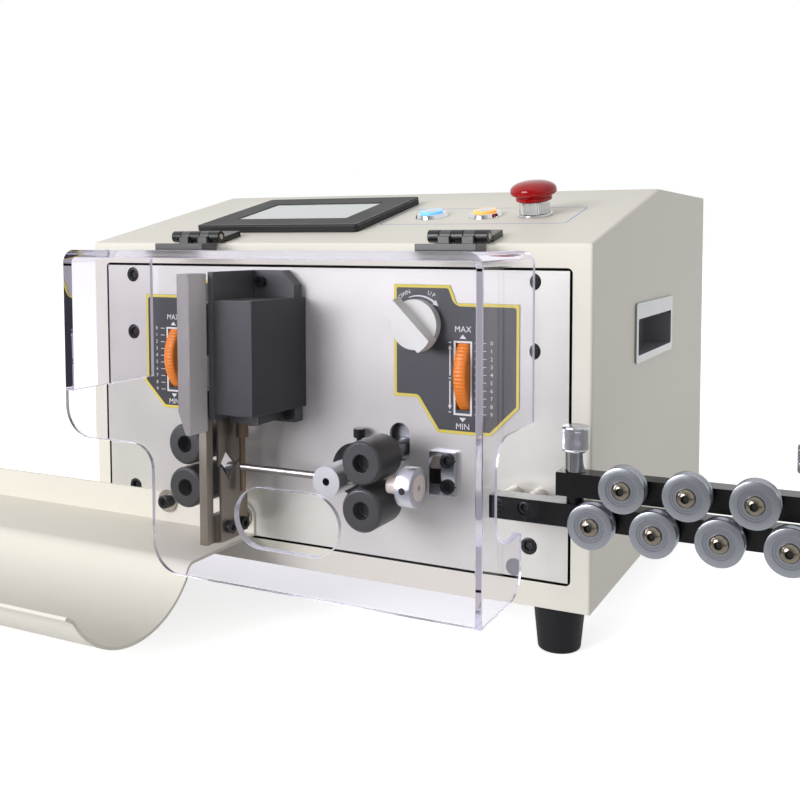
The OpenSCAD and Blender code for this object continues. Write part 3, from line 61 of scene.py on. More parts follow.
plate_opening_x, plate_opening_low, plate_opening_high = 187.3, 16, 215
plate_ledge_y = 3.3


def place(points):
    """Millimetres from the body's front face, underside and centre line, as metres in the shared frame."""
    return np.asarray(points, float) / 1000 + np.array([0.0, corner.y, corner.z])


def millimetres(point):
    """A point of the shared frame as millimetres from the body's front face, underside and centre line."""
    return (np.array(point) - (0, corner.y, corner.z)) * 1000


def linear(red, green, blue):
    """A colour given as 8-bit display values, as linear light."""
    share = np.array([red, green, blue]) / 255
    curve = np.where(share <= 0.04045, share / 12.92, ((share + 0.055) / 1.055) ** 2.4)
    return (*map(float, curve), 1.0)


def new_group(name, inputs, outputs):
    """An empty shader group with named sockets."""
    tree = bpy.data.node_groups.new(name, "ShaderNodeTree")
    for label, kind in inputs:
        tree.interface.new_socket(label, in_out="INPUT", socket_type="NodeSocket" + kind)
    for label, kind in outputs:
        tree.interface.new_socket(label, in_out="OUTPUT", socket_type="NodeSocket" + kind)
    return tree, tree.nodes.new("NodeGroupInput"), tree.nodes.new("NodeGroupOutput")


def math_node(tree, operation, first, second):
    """A maths node; each operand is a socket or a number."""
    node = tree.nodes.new("ShaderNodeMath")
    node.operation = operation
    for socket, value in zip(node.inputs, (first, second)):
        if isinstance(value, (int, float)):
            socket.default_value = value
        else:
            tree.links.new(value, socket)
    return node.outputs[0]


# Grain: broad clouds shift colour and roughness a little, fine noise gives the surface its texture
grain, g_in, g_out = new_group(
    "grain",
    [("Colour", "Color"), ("Clouds", "Float"), ("Roughness", "Float"), ("Spread", "Float"),
     ("Fineness", "Float"), ("Height", "Float"), ("Stretch", "Vector")],
    [("Colour", "Color"), ("Roughness", "Float"), ("Normal", "Vector")],
)
g_coord = grain.nodes.new("ShaderNodeTexCoord")
g_cloud = grain.nodes.new("ShaderNodeTexNoise")
g_cloud.inputs["Scale"].default_value = 22
g_cloud.inputs["Detail"].default_value = 4
grain.links.new(g_coord.outputs["Object"], g_cloud.inputs["Vector"])
g_stretch = grain.nodes.new("ShaderNodeVectorMath")
g_stretch.operation = "MULTIPLY"
grain.links.new(g_coord.outputs["Object"], g_stretch.inputs[0])
grain.links.new(g_in.outputs["Stretch"], g_stretch.inputs[1])
g_fine = grain.nodes.new("ShaderNodeTexNoise")
g_fine.inputs["Detail"].default_value = 5
grain.links.new(g_stretch.outputs[0], g_fine.inputs["Vector"])
grain.links.new(g_in.outputs["Fineness"], g_fine.inputs["Scale"])
g_shift = math_node(grain, "SUBTRACT", g_cloud.outputs["Fac"], 0.5)
g_lines = math_node(grain, "SUBTRACT", g_fine.outputs["Fac"], 0.5)
g_mixed = math_node(grain, "ADD", g_shift, g_lines)
g_bright = math_node(grain, "ADD", 1.0, math_node(grain, "MULTIPLY", g_mixed, g_in.outputs["Clouds"]))
g_colour = grain.nodes.new("ShaderNodeVectorMath")
g_colour.operation = "SCALE"
grain.links.new(g_in.outputs["Colour"], g_colour.inputs[0])
grain.links.new(g_bright, g_colour.inputs["Scale"])
grain.links.new(g_colour.outputs[0], g_out.inputs["Colour"])
g_rough = math_node(grain, "MULTIPLY", g_mixed, g_in.outputs["Spread"])
grain.links.new(math_node(grain, "ADD", g_in.outputs["Roughness"], g_rough), g_out.inputs["Roughness"])
g_bump = grain.nodes.new("ShaderNodeBump")
grain.links.new(g_fine.outputs["Fac"], g_bump.inputs["Height"])
grain.links.new(g_in.outputs["Height"], g_bump.inputs["Distance"])
grain.links.new(g_bump.outputs[0], g_out.inputs["Normal"])


def finish(name, colour, rough, metal=0.0, clouds=0.06, spread=0.15, fineness=900, height=2e-5,
           stretch=(1, 1, 1), **sockets):
    """A surface with the grain group behind its colour, roughness and normal; other sockets by name."""
    made = bpy.data.materials.new(name)
    made.use_nodes = True
    tree = made.node_tree
    shader = tree.nodes["Principled BSDF"]
    source = tree.nodes.new("ShaderNodeGroup")
    source.node_tree = grain
    for label, value in (("Colour", colour), ("Clouds", clouds), ("Roughness", rough), ("Spread", spread),
                         ("Fineness", fineness), ("Height", height), ("Stretch", stretch)):
        source.inputs[label].default_value = value
    tree.links.new(source.outputs["Colour"], shader.inputs["Base Color"])
    tree.links.new(source.outputs["Roughness"], shader.inputs["Roughness"])
    tree.links.new(source.outputs["Normal"], shader.inputs["Normal"])
    shader.inputs["Metallic"].default_value = metal
    for label, value in sockets.items():
        shader.inputs[label.replace("_", " ").title().replace("Ior", "IOR")].default_value = value
    made.diffuse_color = colour
    return made


bodies = frame["record"]["behaviour"]["bodies"]
body_of_node = {node: body for body, members in bodies.items() for node in members}


def settle(piece, node, *also):
    """The piece rides with a CAD node and stands for it."""
    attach(piece, body_of_node[node])
    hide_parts(node, *also)
    return piece


def eased(node, material, width=0.4, segments=2, cut=None, share=None):
    """A CAD node's own surface: merged, flat faces rejoined, and its corners rounded by a width in mm.
    cut names the part that another piece stands for, a test on points in mm; share gives each corner
    its own part of the width, from the middle of its edge in mm."""
    shape = bmesh.new()
    shape.from_mesh(frame["nodes"][node].data)
    bmesh.ops.remove_doubles(shape, verts=shape.verts, dist=2e-6)
    bmesh.ops.dissolve_limit(shape, angle_limit=math.radians(0.4), verts=shape.verts, edges=shape.edges)
    if cut:
        gone = [vert for vert in shape.verts if cut(*millimetres(vert.co))]
        bmesh.ops.delete(shape, geom=gone, context="VERTS")
    if share:
        weight = shape.edges.layers.float.new("bevel_weight_edge")
        for edge in shape.edges:
            if edge.calc_face_angle(0) > math.radians(35):
                edge[weight] = share(*millimetres((edge.verts[0].co + edge.verts[1].co) / 2))
    mesh = bpy.data.meshes.new(node + "_look")
    shape.to_mesh(mesh)
    shape.free()
    mesh.shade_smooth()
    mesh.set_sharp_from_angle(angle=math.radians(60 if width else 30))
    mesh.materials.append(material)
    piece = bpy.data.objects.new(node + "_look", mesh)
    bpy.context.scene.collection.objects.link(piece)
    if width:
        bevel = piece.modifiers.new("rounding", "BEVEL")
        bevel.width = width / 1000
        bevel.segments = segments
        bevel.limit_method = "WEIGHT" if share else "ANGLE"
        bevel.angle_limit = math.radians(35)
        bevel.use_clamp_overlap = share is None
        flat = piece.modifiers.new("flat_faces", "WEIGHTED_NORMAL")
        flat.weight = 100
    return settle(piece, node)


def paint(piece, material, chosen):
    """The faces whose middle, in mm, passes a test get another material."""
    piece.data.materials.append(material)
    for face in piece.data.polygons:
        if chosen(*millimetres(face.center)):
            face.material_index = len(piece.data.materials) - 1
    return piece


def bend(x, y, z):
    """How much of the full bend radius an edge of the shell has: all along the front's upper bend, half on
    the other outer bends, little on cut edges."""
    if abs(y) < 0.6 and abs(z - front_height) < 0.6:
        return 1.0
    outer_side = abs(x) > half_width - 0.5 and z > 0.6
    top_bend = abs(y - slope_run) < 4 and z > top_height - 3
    if y < body_depth - 5 and (outer_side or top_bend):
        return 0.5
    return 0.12


cream = finish("cream_powder_coat", linear(226, 222, 212), 0.5, clouds=0.03, spread=0.1, fineness=1300,
               height=3.5e-5, specular_ior_level=0.3)
zinc = finish("zinc_sheet", linear(165, 166, 168), 0.45, 0.9, clouds=0.25, fineness=150, height=1e-5)
# Painted shade: near black for the shadow in the gap round the front plate.
gap_painted_shade = finish("gap_painted_shade", linear(20, 19, 17), 0.7, clouds=0.1, specular_ior_level=0.1)
shell = eased("housing", cream, 4.0, 4, share=bend)
# The wall and ledge of the opening for the front plate are painted near black: painted shade in the gap.
paint(shell, gap_painted_shade, lambda x, y, z: 0.3 < y < plate_ledge_y and abs(x) < plate_opening_x and
      plate_opening_low < z < plate_opening_high)
eased("rear_cover", cream, 0.4)
eased("base_plate", zinc, 0.3)

# Feet: four tapered bumpers moulded of black rubber,
# each screwed to the base plate from below.
rubber = finish("foot_rubber", linear(17, 18, 23), 0.6, clouds=0.3, fineness=700, height=4e-5,
                specular_ior_level=0.25)
eased("feet", rubber, 1.5, 3)

# Front plate: 3 mm brushed stainless sheet let into the body's front; the gap round it is dark with painted
# shade on the plate's edge faces and on the opening's wall.
# Socket screws with sunk heads hold it, and a grey plug closes a spare hole; the screws of the
# tray, the inlet and the straightener are made here with them.
plate_x, plate_low, plate_high = 185.4, 18, 213
stainless = finish("brushed_plate", linear(216, 214, 210), 0.36, 0.4, clouds=0.12, spread=0.16, fineness=1.0,
                   height=3e-6, stretch=(7, 300, 2400), anisotropic=0.4)
plate = eased("front_plate", stainless, 0.3)
# The plate's stainless edge faces are painted near black: painted shade in the gap round it.
paint(plate, gap_painted_shade, lambda x, y, z: abs(x) > plate_x - 0.2 or z > plate_high - 0.2 or z < plate_low + 0.2)
blackened = finish("blackened_steel", linear(34, 34, 37), 0.32, 0.5, clouds=0.25, fineness=1200, height=1e-5)
nickel = finish("nickel", linear(176, 170, 160), 0.24, 1.0, clouds=0.12, spread=0.12, fineness=700,
                height=5e-6)
plug_grey = finish("plug_grey", linear(112, 113, 118), 0.55, clouds=0.1, fineness=1500)
# Painted shade: near black for the insides of sockets and holes.
painted_pit_shade = finish("painted_pit_shade", linear(14, 14, 15), 0.6, clouds=0.2)


def revolve(profile, origin, axis, steps=96, flutes=0, depth=0.0):
    """A profile of (radius, height) pairs turned about an axis through an origin, as points and faces.
    flutes lets the radius dip by a depth that many times round: depth times the squared sine of the turn."""
    axis = np.array(axis, float) / np.linalg.norm(axis)
    side = np.cross(axis, (0, 1, 0) if abs(axis[0]) > 0.9 else (1, 0, 0))
    side /= np.linalg.norm(side)
    turn = np.linspace(0, 2 * math.pi, steps, endpoint=False)[:, None]
    ring = np.cos(turn) * side + np.sin(turn) * np.cross(axis, side)
    dip = depth * np.sin(turn * flutes / 2) ** 2
    radius, height = np.array(profile, float).T[:, :, None, None]
    points = np.array(origin, float) + height * axis + (radius - np.minimum(dip, radius)) * ring
    index = np.arange(len(profile) * steps).reshape(len(profile), steps)
    low, high = index[:-1], index[1:]
    faces = np.stack([low, np.roll(low, -1, 1), np.roll(high, -1, 1), high], -1).reshape(-1, 4)
    return points.reshape(-1, 3), faces.tolist()


def build(name, points, faces, material, sharp=35):
    """A loose piece from points in mm and faces, joined where points meet, smooth up to an angle."""
    mesh = bpy.data.meshes.new(name)
    mesh.from_pydata(place(points).tolist(), [], [tuple(map(int, face)) for face in faces])
    shape = bmesh.new()
    shape.from_mesh(mesh)
    bmesh.ops.remove_doubles(shape, verts=shape.verts, dist=1e-6)
    bmesh.ops.recalc_face_normals(shape, faces=shape.faces)
    shape.to_mesh(mesh)
    shape.free()
    mesh.shade_smooth()
    mesh.set_sharp_from_angle(angle=math.radians(sharp))
    mesh.materials.append(material)
    piece = bpy.data.objects.new(name, mesh)
    bpy.context.scene.collection.objects.link(piece)
    return piece


def gather(shapes):
    """Several (points, faces) pairs as one."""
    points, faces, count = [], [], 0
    for part_points, part_faces in shapes:
        points.append(np.asarray(part_points, float))
        faces += [[index + count for index in face] for face in part_faces]
        count += len(part_points)
    return np.concatenate(points), faces


def aboard(piece, body):
    """A piece that dresses a body: it rides with it."""
    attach(piece, body)
    return piece


forward = (0, -1, 0)


def cap_screws(name, places, radius, height):
    """Socket-head screws: a turned head with a rounded rim, and a six-sided pit in its top."""
    pit = radius * 0.56
    line = [(radius, 0), (radius, height - 0.7), (radius - 0.2, height - 0.2), (radius - 0.7, height),
            (pit + 0.25, height), (pit - 0.1, height - 0.4)]
    heads = [revolve(line, seat, forward, 48) for seat in places]
    pits = [revolve([(0, height * 0.3), (pit, height * 0.3), (pit, height - 0.25)], seat, forward, 6)
            for seat in places]
    aboard(build(name, *gather(heads), blackened, 40), "frame")
    # The six-sided pits are painted near black, darker than the heads: painted shade in the sockets.
    aboard(build(name + "_pits", *gather(pits), painted_pit_shade, 30), "frame")


# Each row: name, seat of the heads, radius and height of a head, and the places in x and z
screw_rows = [
    ("panel_bolts", 2.6, 5.5, 2.45, [(-161.3, 206), (161.3, 206), (-161.3, 162.5), (161.3, 162.5),
                                     (-161.3, 43), (159.7, 38.5)]),
    ("tray_bolts", -3.5, 5.0, 5.0, [(-126, 36), (-60, 32)]),
    ("inlet_bolts", -2.7, 5.0, 3.95, [(106.4, 72.3), (106.4, 89.2)]),
    ("standoff_bolts", -25.2, 4.0, 3.85, [(150.5, 71), (167, 71)]),
]
for name, seat, radius, height, places in screw_rows:
    cap_screws(name, [(x, seat, z) for x, z in places], radius, height)
rollers_from_x, axle_head_y = 195, -43.1


def dressed_head(x, y, z):
    """True on the screw heads that the turned ones above, and the domed axle heads, stand for."""
    turned_head = any(abs(x - a) < radius + 0.2 and abs(z - b) < radius + 0.2 and y < seat - 0.015
                      for _, seat, radius, _, places in screw_rows for a, b in places)
    return turned_head or x > rollers_from_x and y < axle_head_y


bolts = eased("fixed_bolts", blackened, 0.25, cut=dressed_head)
tray_side_x, tray_top, washer_front, washer_back = -40, 60, -3.6, -1.9
paint(bolts, nickel, lambda x, y, z: x < tray_side_x and z < tray_top and washer_front < y < washer_back)
paint(bolts, nickel, lambda x, y, z: x > rollers_from_x)
plug_x, plug_top = 146.3, 32
paint(bolts, plug_grey, lambda x, y, z: abs(x - plug_x) < 6 and z < plug_top)

# Scale plates: dark plastic sheet stuck to the front plate round each gap wheel, screen-printed
# with a yellow border, white window frames, numbers with ticks, and arrows.
slate = finish("scale_plate", linear(56, 57, 62), 0.42, clouds=0.05, fineness=2500, height=6e-6)
eased("scale_overlays", slate, 0.1, 1)
size_of_capitals = 1.38


def lettering(text, height, x, z, turn=0.0):
    """Flat letters of the built-in font, upright in x and z round their middle, turned by an angle."""
    curve = bpy.data.curves.new("lettering", "FONT")
    curve.body = text
    curve.size = height * size_of_capitals
    curve.align_x = "CENTER"
    curve.align_y = "CENTER"
    curve.resolution_u = 2
    carrier = bpy.data.objects.new("lettering", curve)
    outline = carrier.to_mesh()
    flat = np.array([tuple(vertex.co[:2]) for vertex in outline.vertices])
    faces = [list(face.vertices) for face in outline.polygons]
    carrier.to_mesh_clear()
    bpy.data.objects.remove(carrier)
    bpy.data.curves.remove(curve)
    c, s = math.cos(turn), math.sin(turn)
    return flat @ np.array([[c, s], [-s, c]]) + (x, z), faces


def polygon(*corners):
    """One flat face."""
    return np.array(corners, float), [list(range(len(corners)))]


def rectangle(x0, z0, x1, z1):
    """An upright rectangle."""
    return polygon((x0, z0), (x1, z0), (x1, z1), (x0, z1))


def ribbon(outer, inner, closed=True):
    """The band between two lines with the same number of points."""
    count = len(outer)
    last = count if closed else count - 1
    return np.concatenate([outer, inner]), [[i, (i + 1) % count, count + (i + 1) % count, count + i]
                                            for i in range(last)]


def rounded(corners, radii, steps=6):
    """A polygon with each corner rounded by its own radius, as points along the outline."""
    corners = np.array(corners, float)
    line = []
    for before, here, after, radius in zip(np.roll(corners, 1, 0), corners, np.roll(corners, -1, 0), radii):
        back = (before - here) / np.linalg.norm(before - here)
        ahead = (after - here) / np.linalg.norm(after - here)
        half = math.acos(np.clip(back @ ahead, -1, 1)) / 2
        middle = here + (back + ahead) / np.linalg.norm(back + ahead) * radius / math.sin(half)
        start, end = here + back * radius / math.tan(half), here + ahead * radius / math.tan(half)
        for share in np.linspace(0, 1, steps):
            spoke = (start - middle) * (1 - share) + (end - middle) * share
            line.append(middle + spoke / np.linalg.norm(spoke) * radius)
    return np.array(line)


def inset(line, distance):
    """A closed line moved to its left by a distance, corner by corner."""
    ahead = np.roll(line, -1, 0) - line
    ahead /= np.linalg.norm(ahead, axis=1)[:, None]
    normal = np.stack([-ahead[:, 1], ahead[:, 0]], 1)
    corner_way = normal + np.roll(normal, 1, 0)
    corner_way /= (corner_way * normal).sum(1)[:, None]
    return line + corner_way * distance


plate_corners = np.array([(-18, 106.5), (15.5, 106.5), (34.5, 125.5), (34.5, 191.5), (-4.5, 191.5),
                          (-9, 203), (-50, 203), (-50, 128.5), (-33, 128.5)])
plate_radii = (1, 2, 3, 4, 5, 4, 3, 3, 2)
print_y = -0.53
window_half, window_low, window_high, frame_line_width = 6.45, 118.9, 167.2, 1.3
first_digit_z, digit_step = 166.1, 5.1
scale_marks, border_marks = [], []
for side, window_x, plate_middle in ((1, 115.0, 115), (-1, -120.3, -114)):
    outline = rounded(plate_corners, plate_radii) * (side, 1) + (plate_middle, 0)
    edge_line = rounded(plate_corners, [0.3] * len(plate_radii)) * (side, 1) + (plate_middle, 0)
    if side < 0:
        outline, edge_line = outline[::-1], edge_line[::-1]
    border_marks.append(ribbon(inset(edge_line, 0.1), inset(outline, 2.1)))
    frame_line = np.array([(-window_half, window_low), (window_half, window_low), (window_half, window_high),
                           (-window_half, window_high)]) + (window_x, 0)
    scale_marks.append(ribbon(frame_line, inset(frame_line, frame_line_width)))
    scale_marks.append(lettering("MAX", 4.0, window_x, 174.6))
    scale_marks.append(lettering("MIN", 4.0, window_x, 111.5))
    scale_marks.append(polygon((window_x - 2.4, 168.6), (window_x + 2.4, 168.6), (window_x, 171.4)))
    scale_marks.append(polygon((window_x - 2.4, 117.4), (window_x, 114.6), (window_x + 2.4, 117.4)))
    for digit in range(10):
        level = first_digit_z - digit_step * digit
        scale_marks.append(lettering(str(digit), 2.6, window_x + side * 15.8, level))
        scale_marks.append(rectangle(window_x + side * 8.2, level - 0.2, window_x + side * 12.0, level + 0.2))
    arrow_x = window_x - side * 9.1
    for low, high in ((124.5, 141.0), (144.4, 162.2)):
        scale_marks.append(rectangle(arrow_x - 0.45, low, arrow_x + 0.45, high))
    scale_marks.append(polygon((arrow_x - 1.3, 161.6), (arrow_x + 1.3, 161.6), (arrow_x, 164.4)))
    scale_marks.append(polygon((arrow_x - 1.3, 125.1), (arrow_x, 122.3), (arrow_x + 1.3, 125.1)))
    for level in (166.0, 142.7, 120.6):
        scale_marks.append(rectangle(arrow_x - 0.9, level - 0.3, arrow_x + 0.9, level + 0.3))
knob_x, knob_z = 83.0, 177.0
sweep_radius, letter_radius = 18.6, 22
sweep_turn = np.radians(np.linspace(112, 52, 16))
sweep_width = np.linspace(0.25, 0.75, 16)[:, None]
sweep_line = np.stack([np.cos(sweep_turn), np.sin(sweep_turn)], 1)
scale_marks.append(ribbon(sweep_line * (sweep_radius + sweep_width) + (knob_x, knob_z),
                          sweep_line * (sweep_radius - sweep_width) + (knob_x, knob_z), False))
arrow_end = sweep_line[-1] * sweep_radius + (knob_x, knob_z)
arrow_way = np.array([sweep_line[-1][1], -sweep_line[-1][0]])
scale_marks.append(polygon(arrow_end + sweep_line[-1] * 2, arrow_end - sweep_line[-1] * 2,
                           arrow_end + arrow_way * 4))
letter_step = 8.6
for text, middle, steps in (("DOWN", 122, (-1.5, -0.5, 0.5, 1.5)), ("UP", 64, (-0.5, 0.5))):
    for letter, step in zip(text, steps):
        turn = math.radians(middle - letter_step * step)
        scale_marks.append(lettering(letter, 2.9, knob_x + letter_radius * math.cos(turn),
                                     knob_z + letter_radius * math.sin(turn), turn - math.pi / 2))


def printed(name, shapes, depth, material):
    """A print: flat shapes in x and z laid at a depth in front of the body."""
    flat, faces = gather(shapes)
    piece = build(name, np.stack([flat[:, 0], np.full(len(flat), depth), flat[:, 1]], 1), faces, material)
    return aboard(piece, "frame")


ink_white = finish("ink_white", linear(226, 226, 226), 0.5, clouds=0.05, fineness=3000, height=4e-6)
ink_yellow = finish("ink_yellow", linear(222, 204, 86), 0.5, clouds=0.06, fineness=3000, height=4e-6)
printed("scale_marks", scale_marks, print_y, ink_white)
printed("scale_borders", border_marks, print_y, ink_yellow)

# Gap wheels: orange plastic wheels moulded with notched rims, which stand out of the plate's windows;
# each turns on an axle with its cam behind the plate.
wheel_y, wheel_z = 23.6, 145
orange = finish("orange_plastic", linear(240, 134, 36), 0.42, clouds=0.08, fineness=1500, height=1.5e-5)
rim_line = [(0, -4.5), (29.6, -4.5), (30.4, -4.2), (31.1, -3.2), (31.5, -1.6), (31.6, 0), (31.5, 1.6),
            (31.1, 3.2), (30.4, 4.2), (29.6, 4.5), (0, 4.5)]
rim_notches, notch_depth, hub_radius = 80, 0.3, 20
along = (1, 0, 0)
for side, x in (("left", -120.0), ("right", 115.0)):
    eased(f"{side}_gap_wheel", orange, 0.3, cut=lambda px, py, pz, x=x: abs(px - x) < 4.6 and
          (py - wheel_y) ** 2 + (pz - wheel_z) ** 2 > hub_radius ** 2)
    rim = revolve(rim_line, (x, wheel_y, wheel_z), along, 480, rim_notches, notch_depth)
    aboard(build(f"{side}_wheel_rim", *rim, orange, 40), f"{side}_wheel")

# Lift knob: white plastic disc moulded with a diagonal grip bar, on a shaft through the plate;
# its cam behind the plate lifts both upper rollers.
white = finish("white_plastic", linear(226, 226, 222), 0.34, clouds=0.03, fineness=1400, height=1e-5)
eased("lift_knob", white, 0.8, 3)

# Parts behind the plate: milled steel bearing frames with sliding blocks, the lift bar,
# and black motors bolted on behind them.
milled = finish("milled_steel", linear(160, 161, 163), 0.34, 1.0, clouds=0.2, spread=0.3, fineness=1.0,
                height=8e-6, stretch=(300, 300, 1500))
motor_black = finish("motor_black", linear(40, 40, 43), 0.5, 0.3, clouds=0.15)
for node in ("lift_bar", "left_gap_block", "right_gap_block", "roller_frames"):
    eased(node, milled, 0.3)
eased("drive_motors", motor_black, 0.6)

# Feed rollers: turned sleeves with a dark finish, two pairs one above the other;
# a screw down in its end holds each on its steel shaft.
roller = finish("feed_roller", linear(54, 54, 55), 0.42, 0.0, clouds=0.10, fineness=1.0, height=6e-6,
                stretch=(500, 2200, 500))
turned = finish("turned_steel", linear(150, 151, 155), 0.26, 1.0, clouds=0.15, spread=0.2, fineness=1.0,
                height=6e-6, stretch=(300, 3000, 300))
shaft_end = finish("shaft_end", linear(40, 40, 42), 0.5, 0.3, clouds=0.2)
recess_y = -30
for side in ("left", "right"):
    for level in ("lower", "upper"):
        eased(f"{side}_{level}_roller", roller, 0.5)
        paint(eased(f"{side}_{level}_shaft", turned, 0.2, 1), shaft_end, lambda x, y, z: y < recess_y)

# Cutter head: black casting and cover box, two steel holders on a lead screw, V-notched blades; the black
# casting is given a lighter grey copy of the cover's finish, painted light for its poorly lit front.
# The holders are ground and satin-blasted, the upper one's right-hand faces given a much lighter copy of its
# finish as painted light; a bronze bush guides the post beside the blades.
head_black = finish("head_black", linear(56, 56, 58), 0.36, 0.1, clouds=0.10, fineness=900, height=2.0e-5)
head_painted_light = finish("head_painted_light", linear(82, 82, 85), 0.4, 0.1, clouds=0.10, fineness=900, height=2.0e-5)
bronze = finish("screw_bronze", linear(132, 114, 92), 0.35, 1.0, clouds=0.2, fineness=600)
blasted = finish("blasted_steel", linear(132, 129, 127), 0.5, 0.2, clouds=0.06, spread=0.1, fineness=1400,
                 height=1e-5)
blasted_painted_light = finish("blasted_painted_light", linear(216, 212, 208), 0.5, 0.1, clouds=0.06, spread=0.1,
                      fineness=1400, height=1e-5)
ground = finish("ground_steel", linear(146, 138, 126), 0.34, 0.8, clouds=0.14, spread=0.2, fineness=1.0,
                height=4e-6, stretch=(400, 1800, 60))
# Painted light: the black casting wears a lighter grey copy of the cover's finish, for a front that gets
# little light.
casting = eased("head_body", head_painted_light, 0.6)
post_x, post_y, bush_top = -38, -28.7, 110.2
paint(casting, bronze, lambda x, y, z: abs(x - post_x) < 4.5 and abs(y - post_y) < 4.5 and z < bush_top)
eased("head_cover", head_black, 0.8, 3)
eased("lead_screw", bronze, 0.2)
bar_side_x, bar_back_y, bolt_face_x = -45.3, -56, -42.55
upper_holder = eased("upper_blade_holder", blasted, 0.5)
# Painted light: the upper holder's right-hand faces get a much lighter copy of its finish, where that side
# falls dark.
paint(upper_holder, blasted_painted_light, lambda x, y, z: x > bar_side_x and y < bar_back_y)
eased("lower_blade_holder", ground, 0.4)
eased("upper_blade", ground, 0.1, 1)
paint(eased("lower_blade", ground, 0.1, 1), blackened, lambda x, y, z: x > bolt_face_x)

# Swing guide: turned aluminium boss clamped in a black collar on its shaft;
# it carries the drawn steel tube that guides the wire to the blades.
wire_y, wire_z, boss_x = -38, 78.6, 42
collar_back, collar_front, clamp_top = -11.9, -24.1, 96.5
boss_face_y, boss_hole = -49.9, 2.7
aluminium = finish("turned_aluminium", linear(206, 207, 209), 0.34, 0.6, clouds=0.04, spread=0.06,
                   fineness=1.0, height=5e-7, stretch=(300, 2600, 300))
drawn = finish("drawn_steel", linear(140, 136, 130), 0.34, 0.9, clouds=0.08, spread=0.1, fineness=1.0,
               height=1e-6, stretch=(60, 2000, 2000))
boss = eased("swing_boss", aluminium, 0.4)
paint(boss, blackened, lambda x, y, z: collar_front < y < collar_back and z < clamp_top or
      z > clamp_top + 0.2)
# The bore in the boss's face is painted near black: painted shade in the hole.
paint(boss, painted_pit_shade, lambda x, y, z: boss_face_y < y < wire_y and
      math.hypot(x - boss_x, z - wire_z) < boss_hole)
eased("guide_tube", drawn, 0.2)

# Wire inlet: chromed block bolted to the plate, with a satin aluminium ring in front
# that holds a white ceramic bush; a set screw grips it.
chrome = finish("polished_chrome", linear(214, 216, 220), 0.08, 1.0, clouds=0.04, spread=0.03, fineness=300,
                height=2e-6)
satin = finish("satin_aluminium", linear(202, 204, 208), 0.30, 1.0, clouds=0.08, spread=0.1, fineness=1.0,
               height=4e-6, stretch=(2600, 300, 300))
ceramic = finish("ceramic", linear(238, 224, 214), 0.35, clouds=0.05, subsurface_weight=0.1)
ring_start, ring_end, ring_reach, bush_start = 91, 101.6, 13, 81
eased("inlet_bracket", chrome, 0.5, cut=lambda x, y, z: x < ring_end + 0.1 and
      math.hypot(y - wire_y, z - wire_z) < ring_reach)
ring_line = [(8.6, 0), (12.2, 0), (12.6, 0.15), (12.75, 0.5), (12.75, 10.1), (12.6, 10.45), (12.2, 10.6),
             (8.6, 10.6)]
ring = revolve(ring_line, (ring_start, wire_y, wire_z), along, 128)
aboard(build("inlet_ring", *ring, satin, 40), "frame")
set_screw = revolve([(0, 0.05), (2.1, 0.05), (2.25, 0.0), (2.25, -0.6)],
                    ((ring_start + ring_end) / 2, wire_y - 12.78, wire_z), forward, 48)
# The set screw is black steel; its near-black disc is also painted shade in the hole it sits in.
aboard(build("ring_screw", *set_screw, painted_pit_shade, 30), "frame")
bush_line = [(2.0, 0), (4.9, 0), (5.5, 0.6), (5.5, 11), (8.5, 11), (8.5, 20.9), (8.3, 21.4), (7.8, 21.6),
             (2.6, 21.6), (2.0, 21.0), (2.0, 0)]
bush = revolve(bush_line, (bush_start, wire_y, wire_z), along, 96)
settle(build("inlet_bush_look", *bush, ceramic, 40), "inlet_bush")

# Straightener: two black anodised square bars with grooved steel rollers, staggered along the wire;
# cast standoffs hold the lower bar off the plate.
anodised = finish("black_anodised", linear(11, 11, 13), 0.24, 0.0, clouds=0.1, spread=0.08, fineness=1.0,
                  height=3e-6, stretch=(60, 1500, 1500), specular_ior_level=0.35)
cast_zinc = finish("cast_zinc", linear(186, 181, 172), 0.4, 0.5, clouds=0.1, fineness=900)
pulley_steel = finish("pulley_steel", linear(152, 155, 163), 0.26, 0.75, clouds=0.04, spread=0.05,
                      fineness=700, height=2e-6)
bar_rear_y, pulley_rear_y = -15.9, -33
paint(eased("straightener_lower_bar", anodised, 0.9, 3), cast_zinc, lambda x, y, z: y > bar_rear_y)
eased("straightener_upper_bar", anodised, 0.9, 3)
lower_x = [211.5 + 36 * i for i in range(4)]
upper_x = [229.5 + 36 * i for i in range(3)]
lower_z, upper_z = 68.3, 91.3
groove = [(13.25 - 2.2 * math.cos(a) ** 2, 5 + 3.3 * a / (math.pi / 2))
          for a in np.linspace(-math.pi / 2, math.pi / 2, 15)]
pulley_line = [(3.1, 0.2), (7.0, 0.2), (7.4, 0.0), (12.7, 0.0), (13.08, 0.15), (13.25, 0.55)] + groove
pulley_line += [(13.25, 9.4), (13.08, 9.85), (12.7, 10.0), (8.9, 10.0), (8.7, 9.6), (8.2, 9.6), (8.0, 9.9),
                (7.4, 9.9), (7.2, 9.6), (6.8, 9.6), (6.6, 9.9), (3.1, 9.9), (3.1, 0.2)]
for row, places, level in (("lower", lower_x, lower_z), ("upper", upper_x, upper_z)):
    for number, x in enumerate(places, 1):
        node = f"{row}_pulley_{number}"
        wheel = revolve(pulley_line, (x, pulley_rear_y, level), forward, 128)
        settle(build(node + "_look", *wheel, pulley_steel, 25), node)

# Axle screws: nickel-plated steel screws with a domed head and a hexagon socket,
# each put through a roller and screwed into its bar.
axle_nickel = finish("axle_nickel", linear(128, 121, 109), 0.2, 1.0, clouds=0.1, spread=0.1, fineness=700,
                     height=3e-6)
dome_radius, dome_height, dome_seat = 5.4, 3.4, -43.15
dome = [(dome_radius * math.sin(a), dome_height * math.cos(a)) for a in np.linspace(0.44, math.pi / 2, 12)]
head_line = [(2.3, 3.0)] + dome + [(dome_radius, 0.0)]


